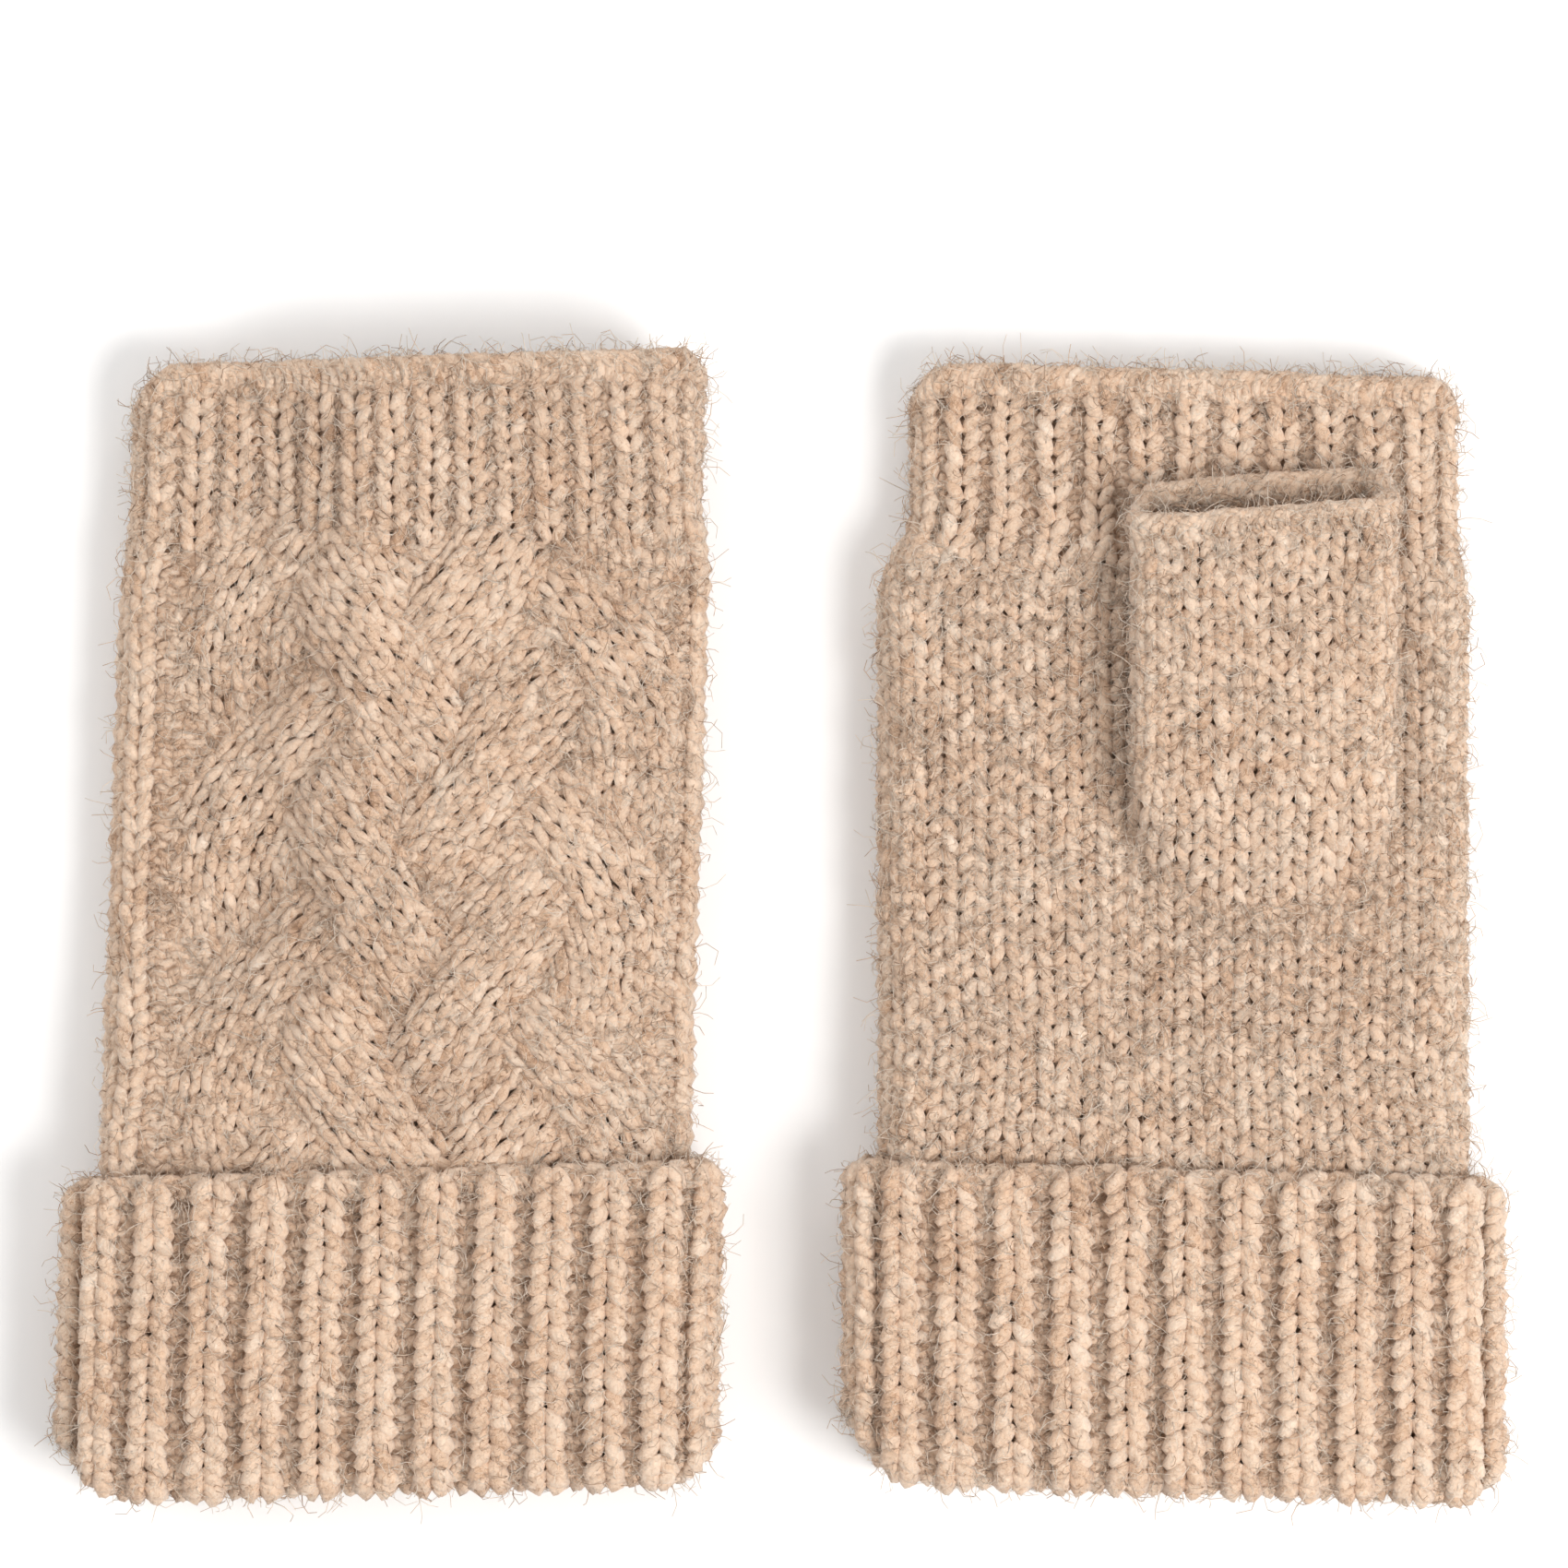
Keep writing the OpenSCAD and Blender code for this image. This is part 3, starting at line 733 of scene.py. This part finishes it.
def add_node(tree, kind, **settings):
    node = tree.nodes.new(kind)
    for key, value in settings.items():
        if key in node.inputs:
            node.inputs[key].default_value = value
        else:
            setattr(node, key, value)
    return node


def maths(tree, operation, *values):
    """The output of a maths node whose inputs are numbers or other nodes' outputs."""
    node = add_node(tree, "ShaderNodeMath", operation=operation)
    for socket, value in zip(node.inputs, values):
        if isinstance(value, float):
            socket.default_value = value
        else:
            tree.links.new(value, socket)
    return node.outputs[0]


def noise(tree, place, **settings):
    node = add_node(tree, "ShaderNodeTexNoise", **settings)
    tree.links.new(place, node.inputs["Vector"])
    return node.outputs["Fac"]


def set_ramp(node, stops):
    ramp = node.color_ramp
    while len(ramp.elements) < len(stops):
        ramp.elements.new(0.5)
    for element, (place, colour) in zip(ramp.elements, stops):
        element.position = place
        element.color = (*colour, 1)


def stray_fibres(tree, place, scales, offset_share, width):
    """Thin curly lines over the yarn, for each scale: 1 on a fibre and 0 beside it."""
    results = []
    for scale in scales:
        offset = offset_share * scale
        moved = add_node(tree, "ShaderNodeVectorMath", operation="ADD")
        tree.links.new(place, moved.inputs[0])
        moved.inputs[1].default_value = (offset, 0.7 * offset, 1.3 * offset)
        field = noise(tree, moved.outputs[0], Scale=scale, Detail=1.0, Roughness=0.5,
                      Distortion=0.6)
        size = maths(tree, "ABSOLUTE", maths(tree, "SUBTRACT", field, 0.5))
        line = add_node(tree, "ShaderNodeMapRange", interpolation_type="SMOOTHSTEP")
        line.inputs["From Min"].default_value = width
        line.inputs["From Max"].default_value = 0.25 * width
        tree.links.new(size, line.inputs["Value"])
        results.append(line.outputs["Result"])
    return results


def yarn_material(name, stops, sheen=SHEEN, streaks=0.5, tone_weight=0.08, fibre_weight=0.17):
    """Blended wool: the yarn's own tone, fibres that follow its twist, stray fibres, and bump from
    its plies and fibres."""
    material = bpy.data.materials.new(name)
    material.use_nodes = True
    tree = material.node_tree
    link = tree.links.new
    shader = tree.nodes["Principled BSDF"]
    shader.inputs["Roughness"].default_value = ROUGHNESS
    shader.inputs["Sheen Weight"].default_value = sheen
    shader.inputs["Sheen Roughness"].default_value = SHEEN_ROUGHNESS
    shader.inputs["Specular IOR Level"].default_value = SPECULAR

    tone = add_node(tree, "ShaderNodeAttribute", attribute_name="tone")
    yarn = add_node(tree, "ShaderNodeUVMap", uv_map="yarn")
    split = add_node(tree, "ShaderNodeSeparateXYZ")
    link(yarn.outputs["UV"], split.inputs[0])
    along, around = split.outputs["X"], split.outputs["Y"]
    turn = maths(tree, "MULTIPLY", maths(tree, "MULTIPLY_ADD", along, TWIST, around), 2 * math.pi)
    spot = add_node(tree, "ShaderNodeCombineXYZ")
    link(maths(tree, "SINE", turn), spot.inputs[0])
    link(maths(tree, "COSINE", turn), spot.inputs[1])
    link(maths(tree, "MULTIPLY", along, FIBRE_STRETCH), spot.inputs[2])
    fibres = noise(tree, spot.outputs[0], Scale=7.0, Detail=4.0, Roughness=0.7)

    place = add_node(tree, "ShaderNodeTexCoord").outputs["Object"]
    patches = noise(tree, place, Scale=60.0, Detail=3.0, Roughness=0.6)
    specks = noise(tree, place, Scale=900.0, Detail=2.0, Roughness=0.7)
    pale = stray_fibres(tree, place, *PALE_FIBRES)
    dark = stray_fibres(tree, place, *DARK_FIBRES)

    middle = 0.5 - 0.5 * (streaks + PATCH_WEIGHT + SPECK_WEIGHT) + RAMP_SHIFT
    mixed = maths(tree, "MULTIPLY_ADD", tone.outputs["Fac"], tone_weight, middle)
    weights = [(fibres, streaks), (patches, PATCH_WEIGHT), (specks, SPECK_WEIGHT)]
    weights += [(fibre, fibre_weight) for fibre in pale]
    weights += [(fibre, -fibre_weight) for fibre in dark]
    for part, weight in weights:
        mixed = maths(tree, "MULTIPLY_ADD", part, weight, mixed)
    ramp = add_node(tree, "ShaderNodeValToRGB")
    set_ramp(ramp, stops)
    link(mixed, ramp.inputs[0])
    link(ramp.outputs["Color"], shader.inputs["Base Color"])

    ply_wave = maths(tree, "COSINE", maths(tree, "MULTIPLY", turn, PLIES))
    height = maths(tree, "MULTIPLY", ply_wave, PLY_HEIGHT)
    parts = [(fibres, FIBRE_HEIGHT), (specks, SPECK_HEIGHT)]
    for part, weight in parts + [(fibre, STRAY_HEIGHT) for fibre in pale + dark]:
        height = maths(tree, "MULTIPLY_ADD", part, weight, height)
    bump = add_node(tree, "ShaderNodeBump", Strength=0.7, Distance=0.0004)
    link(height, bump.inputs["Height"])
    link(bump.outputs["Normal"], shader.inputs["Normal"])
    return material


def make_materials():
    fuzz = yarn_material("loose_fibre", FUZZ_STOPS, sheen=FUZZ_SHEEN, streaks=0.2, tone_weight=0.19,
                         fibre_weight=0.0)
    return {
        "cable_knit": yarn_material("cable_wool", BODY_STOPS),
        "stockinette": yarn_material("stockinette_wool", PALM_STOPS),
        "rib_knit": yarn_material("rib_wool", BODY_STOPS),
        "cuff_knit": yarn_material("cuff_wool", BODY_STOPS),
        "edge_chain": yarn_material("edge_wool", BODY_STOPS),
        # The inside skin gets the darker ramp, which paints shade into the gaps between the
        # stitches.
        "backing": yarn_material("inner_wool_painted_shade", SHADED_INNER_STOPS, streaks=0.3),
        "fuzz": fuzz,
    }


# Pieces of each glove
SEEDS = {"right": {"hand": 100, "thumb": 400, "join": 701, "cuff": 600, "wrist": 900},
         "left": {"hand": 200, "thumb": 500, "join": 699, "cuff": 800, "wrist": 950}}
PALM_WALE, THUMB_WALE, GUSSET_INSET = 4.85, 4.75, 1.5
# Widths of the wales beside the plait, towards the thumb and towards the little finger
BORDERS = (([4.9, 5.6, 3.2, 4, 4], [1, 1, -1, -1, -1]), ([4, 4, 4.2, 4.3], [-1, -1, -1, 1]))
EDGE_SAMPLES, EDGE_LEAN, EDGE_JITTER = 12, 0.55, 0.15
BACKING_OUT, BACKING_IN = -2.55, -3.3
BACKING_COLUMNS, BACKING_STEP = 96, 2.0
FOLD_DEPTH = 8.0  # thickness of the doubled cuff, round whose lip the fabric turns
FOLD_START = 3.0  # below this height the cuff's rows belong to its fold
JOIN_SAMPLES, JOIN_YARN = 96, 1.1
made = {}


def finish(side, piece, body, slot, node=None, wool=None):
    """Gives a piece its material, chosen by wool or else by slot, hides the CAD node that it stands
    for and hangs it on the body that it rides on. Without a body its place is baked into its mesh."""
    piece.data.materials.append(materials[wool or slot])
    if body:
        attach(piece, f"{side}_{body}")
    if node:
        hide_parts(f"{side}_{node}")
    if not body:
        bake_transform(piece)
    made[piece.name] = piece


def chain_edge(tubes, layer, v, pitch, radius, out, wrap, seed):
    """A bound-off edge: two rows of slanting loops that wrap the fabric's end."""
    loops = round(layer.length / pitch)
    t = np.arange(loops * EDGE_SAMPLES) / EDGE_SAMPLES
    pitch = layer.length / loops
    nudge = Wander(seed, 6.0)
    for turn in (0.0, 0.5):
        phase = 2 * math.pi * t + 2 * math.pi * turn
        distance = (t * pitch + EDGE_LEAN * pitch * np.sin(phase))[None, :]
        place_v = v + wrap * np.cos(phase)[None, :] + EDGE_JITTER * nudge(distance, 0)
        n = out + 0.55 * wrap * np.sin(phase)[None, :] + EDGE_JITTER * nudge(distance, 9)
        points, normals = layer.place(distance / layer.length, place_v, n)
        tubes.sweep(points, normals, np.full(distance.shape, radius), closed=True)


def backing(name, layer, v_low, v_high, sink=0.0, keep=None):
    """The inside of a knitted tube: one closed skin, just thick enough to stop light."""
    grid_u, grid_v = np.meshgrid(np.linspace(0, 1, BACKING_COLUMNS, endpoint=False),
                                 np.arange(v_low, v_high + 1.0, BACKING_STEP))
    outer, normals = layer.place(grid_u, grid_v, np.full(grid_u.shape, BACKING_OUT - sink))
    inner = outer + normals * (BACKING_IN - BACKING_OUT)
    verts = np.concatenate([outer.reshape(-1, 3), inner.reshape(-1, 3)]) / PER_M
    kept = np.ones(grid_u.shape, bool) if keep is None else keep(outer)
    kept = kept & np.roll(kept, -1, 1)
    cells = kept[:-1] & kept[1:]
    half = grid_u.size

    def corner(r, c):
        return r * BACKING_COLUMNS + c % BACKING_COLUMNS

    def is_open(r, c):
        return not 0 <= r < len(cells) or not cells[r, c % BACKING_COLUMNS]

    faces = []
    for r, c in np.argwhere(cells).tolist():
        a, b, d, e = corner(r, c), corner(r, c + 1), corner(r + 1, c + 1), corner(r + 1, c)
        faces += [(a, b, d, e), (e + half, d + half, b + half, a + half)]
        for beside, (p, q) in (((r - 1, c), (a, b)), ((r + 1, c), (d, e)),
                               ((r, c - 1), (e, a)), ((r, c + 1), (b, d))):
            if is_open(*beside):
                faces.append((q, p, p + half, q + half))
    if layer.side < 0:
        faces = [face[::-1] for face in faces]
    mesh = bpy.data.meshes.new(name)
    mesh.from_pydata(verts.tolist(), [], faces)
    mesh.polygons.foreach_set("use_smooth", np.ones(len(faces), bool))
    mesh.attributes.new("tone", "FLOAT", "POINT")
    mesh.uv_layers.new(name="yarn")
    return add_object(name, mesh)


def build_hand(side):
    layer, seed = layers[side, "hand"], SEEDS[side]["hand"]
    half = layer.length / 2
    rib_low = rib_start[side]
    rows = np.arange(layer.v_low + 1.5, rib_low + 0.5 * HAND.row, HAND.row)
    slit = thumb_slit(side)

    palm = Tubes(seed)
    knit(palm, layer, 0, even_wales(half, PALM_WALE), rows, HAND, seed + 1,
         samples=12 if side == "left" else STITCH_SAMPLES, keep=slit)
    finish(side, palm.mesh(f"{side}_palm_stitches"), "glove", "stockinette", "palm_panel")

    back, strands = Tubes(seed + 10), Tubes(seed + 11)
    middle = half + half / 2 + PLAIT_OFFSET
    plait([back, strands], layer, middle, layer.v_low + 2, rib_low + 1, seed + 11)
    for start, wales, border_seed in ((half, BORDERS[0], seed + 12),
                                      (2 * half - sum(BORDERS[1][0]), BORDERS[1], seed + 15)):
        knit(strands, layer, start, wales, rows, HAND, border_seed, recess=1.2, samples=12)
    finish(side, back.mesh(f"{side}_back_stitches"), "glove", "cable_knit", "back_panel")
    finish(side, strands.mesh(f"{side}_back_border_stitches"), "glove", "cable_knit")

    rib = Tubes(seed + 20)
    rib_rows = np.arange(rib_low + 1.2, layer.v_high - EDGE_HEIGHT + 1.6 * FINGER_RIB.row,
                         FINGER_RIB.row)
    knit(rib, layer, 0, rib_wales(half, 5.6, 2.5), rib_rows, FINGER_RIB, seed + 21,
         relief=0.75, recess=1.3, samples=12)
    knit(rib, layer, half, rib_wales(half, 5.4, 1.3), rib_rows, FINGER_RIB, seed + 24,
         relief=0.6, recess=0.6, samples=12)
    finish(side, rib.mesh(f"{side}_finger_rib_stitches"), "glove", "rib_knit", "finger_rib")

    edge = Tubes(seed + 30)
    chain_edge(edge, layer, layer.v_high - 2.6, 3.1, 0.95, -1.9, 1.9, seed + 31)
    finish(side, edge.mesh(f"{side}_finger_edge_chain"), "glove", "edge_chain", "finger_bind_off")
    skin = backing(f"{side}_hand_backing", layer, layer.v_low + 1, layer.v_high - 8, keep=slit)
    finish(side, skin, "glove", "stockinette", wool="backing")


def thumb_slit(side):
    """Whether points of the palm are clear of the slit that the thumb leaves by."""
    low, high = cad_box(f"{side}_thumb_join")
    middle = (low + high) / 2
    reach = (high - low) / 2 - np.array([1.5, 1.5, 0])

    def keep(points):
        off = np.abs(points - middle) / reach
        near = np.abs(points[..., 2] - middle[2]) < 5
        return ~((off[..., 0] < 1) & (off[..., 1] < 1) & near)

    return keep


def build_thumb(side):
    layer, seed = layers[side, "thumb"], SEEDS[side]["thumb"]
    stitches = Tubes(seed)
    rows = np.arange(layer.v_low + 3.6, layer.v_high - 3.2, THUMB.row)
    wales = even_wales(layer.length, THUMB_WALE)
    knit(stitches, layer, 0, wales, rows, THUMB, seed + 1, closed=True)
    finish(side, stitches.mesh(f"{side}_thumb_stitches"), "thumb", "stockinette", "thumb_stall")

    gusset = Tubes(seed + 5)
    rising = GussetLayer(layer, layers[side, "hand"])
    rows = np.arange(layer.v_low + 0.4 - 7 * THUMB.row, layer.v_low + 1, THUMB.row)
    wales = even_wales(layer.length / 2 - 2 * GUSSET_INSET, THUMB_WALE)
    knit(gusset, rising, GUSSET_INSET, wales, rows, THUMB, seed + 6)
    finish(side, gusset.mesh(f"{side}_thumb_gusset_stitches"), None, "stockinette")

    edge = Tubes(seed + 10)
    chain_edge(edge, layer, layer.v_high - 2.6, 4.1, 1.1, -1.4, 1.7, seed + 11)
    finish(side, edge.mesh(f"{side}_thumb_edge_chain"), "thumb", "edge_chain", "thumb_bind_off")
    skin = backing(f"{side}_thumb_backing", layer, layer.v_low + 1, layer.v_high - 8)
    finish(side, skin, "thumb", "stockinette", wool="backing")


def build_join(side):
    """The picked-up edge round the slit that the thumb leaves by."""
    low, high = cad_box(f"{side}_thumb_join")
    middle, reach = (low + high) / 2, (high - low) / 2 - 0.9
    t = 2 * math.pi * np.arange(JOIN_SAMPLES) / JOIN_SAMPLES
    ring = np.zeros((1, JOIN_SAMPLES, 3))
    ring[0, :, 0] = middle[0] + reach[0] * np.sign(np.cos(t)) * np.abs(np.cos(t)) ** 0.35
    ring[0, :, 1] = middle[1] + reach[1] * np.sign(np.sin(t)) * np.abs(np.sin(t)) ** 0.8
    ring[0, :, 2] = middle[2] + 0.25 * np.sin(12 * t)
    normals = np.broadcast_to(np.array([0.0, 0.0, 1.0]), ring.shape)
    join = Tubes(SEEDS[side]["join"])
    join.sweep(ring, normals, np.full((1, JOIN_SAMPLES), JOIN_YARN), closed=True)
    finish(side, join.mesh(f"{side}_thumb_join_chain"), "glove", "edge_chain", "thumb_join")


def build_cuff(side):
    layer, seed = FoldedLayer(layers[side, "cuff"], FOLD_DEPTH), SEEDS[side]["cuff"]
    wales = rib_wales(layer.length, 6.1, 3.2)
    rows = np.arange(-8.0, layer.v_high - 0.55 * CUFF.row, CUFF.row)
    for name, chosen in (("cuff_fold", rows[rows < FOLD_START]),
                         ("cuff_turn_up", rows[rows >= FOLD_START])):
        part = Tubes(seed)
        knit(part, layer, 0, wales, chosen, CUFF, seed + 1, relief=0.9, recess=2.3, flip=-1,
             samples=12, sides=8, closed=True)
        finish(side, part.mesh(f"{side}_{name}_stitches"), "cuff", "cuff_knit", name)
        seed += 10
    edge = Tubes(seed + 30)
    chain_edge(edge, layer, layer.v_high - 2.0, 3.9, 0.95, -3.5, 1.3, seed + 31)
    finish(side, edge.mesh(f"{side}_cuff_edge_chain"), "cuff", "edge_chain", "cuff_cast_on_edge")
    skin = backing(f"{side}_cuff_backing", layer, -9.0, layer.v_high - 1.5, sink=0.9)
    finish(side, skin, "cuff", "cuff_knit", wool="backing")


def build_wrist(side):
    """The rib under the cuff, which shows when the cuff is turned down."""
    layer, seed = layers[side, "wrist"], SEEDS[side]["wrist"]
    wrist = Tubes(seed)
    rows = np.arange(layer.v_low + 2, layer.v_high, WRIST.row)
    knit(wrist, layer, 0, rib_wales(layer.length, 5.6, 3.4), rows, WRIST, seed + 1, relief=0.7,
         recess=1.2, samples=10, closed=True)
    finish(side, wrist.mesh(f"{side}_wrist_rib_stitches"), "glove", "rib_knit", "wrist_rib")
    skin = backing(f"{side}_wrist_backing", layer, layer.v_low + 1, layer.v_high - 1)
    finish(side, skin, "glove", "rib_knit", wool="backing")


# Loose fibres
HAIR_STEPS = 4
HAIR_LENGTHS, HAIR_RADII = (2.0, 8.0), (0.06, 0.095)
HAIR_BEND, HAIR_TONE = 1.3, 1.2
HAIR_ROOT, HAIR_TIP = 0.15, 0.65  # depth of the root in the yarn, and the tip's share of its radius
LOWEST_HAIR = 0.2  # the fabric's own weight presses its fibres flat on the floor
HAIRS_PER_PIECE = 9800
GUSSET_HAIRS = 1800
FUZZ = {  # for each piece: its body and slot, and the fibres on the right and on the left glove
    "palm_stitches": ("glove", "stockinette", 27000, 2500),
    "back_stitches": ("glove", "cable_knit", 2500, 15000),
    "back_border_stitches": ("glove", "cable_knit", 1000, 10000),
    "finger_rib_stitches": ("glove", "rib_knit", 8500, 8500),
    "thumb_stitches": ("thumb", "stockinette", 8500, 1000),
    "cuff_turn_up_stitches": ("cuff", "cuff_knit", 18000, 18000),
    "cuff_fold_stitches": ("cuff", "cuff_knit", 1800, 1800),
    "finger_edge_chain": ("glove", "edge_chain", 2200, 2200),
    "thumb_edge_chain": ("thumb", "edge_chain", 1300, 600),
    "cuff_edge_chain": ("cuff", "edge_chain", 2400, 2400),
}


def read_vectors(mesh, title):
    values = np.zeros(len(mesh.vertices) * 3, np.float32)
    mesh.vertices.foreach_get(title, values)
    return values.reshape(-1, 3)


def grow_fuzz(side, name, source, count, body, slot, seed):
    """Short curly fibres that leave the yarn and lie over the fabric, most of them on its top."""
    rng = np.random.default_rng(RANDOM_SEED + seed)
    mesh = made[f"{side}_{source}"].data
    co, normal = read_vectors(mesh, "co") * PER_M, read_vectors(mesh, "normal")
    weight = np.clip(0.15 + normal[:, 2] * 0.85, 0.06, 1)
    weight /= weight.sum()
    roots = rng.choice(len(co), count, p=weight)
    start, outward = co[roots], normal[roots]
    heading = unit(rng.normal(size=(count, 3)))
    heading = unit(heading - outward * (heading * outward).sum(1)[:, None])
    length = rng.uniform(*HAIR_LENGTHS, count) * rng.uniform(0.5, 1, count)
    bend = rng.normal(0, HAIR_BEND, count)[:, None]
    rise = rng.uniform(0.25, 0.9, count)[:, None]
    paths = np.zeros((count, HAIR_STEPS, 3))
    point = start - HAIR_ROOT * outward
    step = (length / (HAIR_STEPS - 1))[:, None]
    for i in range(HAIR_STEPS):
        paths[:, i] = point
        point = point + step * unit(heading + outward * rise)
        heading = unit(heading + bend * np.cross(outward, heading))
        rise = rise - rng.uniform(0.25, 0.75, (count, 1))
    paths[..., 2] = np.maximum(paths[..., 2], LOWEST_HAIR)
    thick = rng.uniform(*HAIR_RADII, (count, 1)) * np.linspace(1, HAIR_TIP, HAIR_STEPS)[None, :]
    tone = np.repeat(rng.normal(0, HAIR_TONE, (count, 1)), HAIR_STEPS, 1)
    normals = np.repeat(outward[:, None], HAIR_STEPS, 1)
    hairs = Tubes(seed)
    hairs.sweep(paths, normals, thick, sides=3, tone=tone, rough=0)
    finish(side, hairs.mesh(f"{side}_{name}"), body, slot, wool="fuzz")


def build_fuzz(side):
    for i, (source, (body, slot, right, left)) in enumerate(FUZZ.items()):
        count = right if side == "right" else left
        for part, first in enumerate(range(0, count, HAIRS_PER_PIECE), 1):
            grow_fuzz(side, f"{source}_fuzz_{part}", source, min(count - first, HAIRS_PER_PIECE),
                      body, slot, 1000 + 20 * i + SIDES[side] + 5 * part)
    grow_fuzz(side, "thumb_gusset_fuzz", "thumb_gusset_stitches", GUSSET_HAIRS, None,
              "stockinette", 1900 + SIDES[side])


# Assembly
ZONES = {  # the CAD nodes of each tube, and the margins at its low and high ends
    "hand": (("back_panel", "palm_panel", "finger_rib", "finger_bind_off"), (6, 8)),
    "thumb": (("thumb_stall", "thumb_bind_off"), (12, 6)),
    "cuff": (("cuff_turn_up", "cuff_fold", "cuff_cast_on_edge"), (16, 4)),
    "wrist": (("wrist_rib",), (4, 8)),
}
CLOTH_PIECES = {  # how the names of each tube's pieces start, after the side
    "hand": ("palm", "back", "finger", "thumb_join"),
    "thumb": ("thumb_stitches", "thumb_edge", "thumb_gusset"),
    "cuff": ("cuff",),
    "wrist": ("wrist",),
}


def declare_cloth(side):
    """Makes the names that each tube's pieces start with, and does nothing further with them."""
    for zone, starts in CLOTH_PIECES.items():
        starts = tuple(f"{side}_{start}" for start in starts)


make_camera()
make_studio()
layers = {(side, zone): Layer(SIDES[side], [f"{side}_{node}" for node in nodes], margins)
          for side in SIDES for zone, (nodes, margins) in ZONES.items()}
rib_start = {side: cad_box(f"{side}_finger_rib")[0][1] for side in SIDES}
edge_low, edge_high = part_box("right_finger_bind_off")
EDGE_HEIGHT = (edge_high.y - edge_low.y) * PER_M
materials = make_materials()
for side in SIDES:
    build_hand(side)
    build_thumb(side)
    build_join(side)
    build_cuff(side)
    build_wrist(side)
    build_fuzz(side)
    declare_cloth(side)
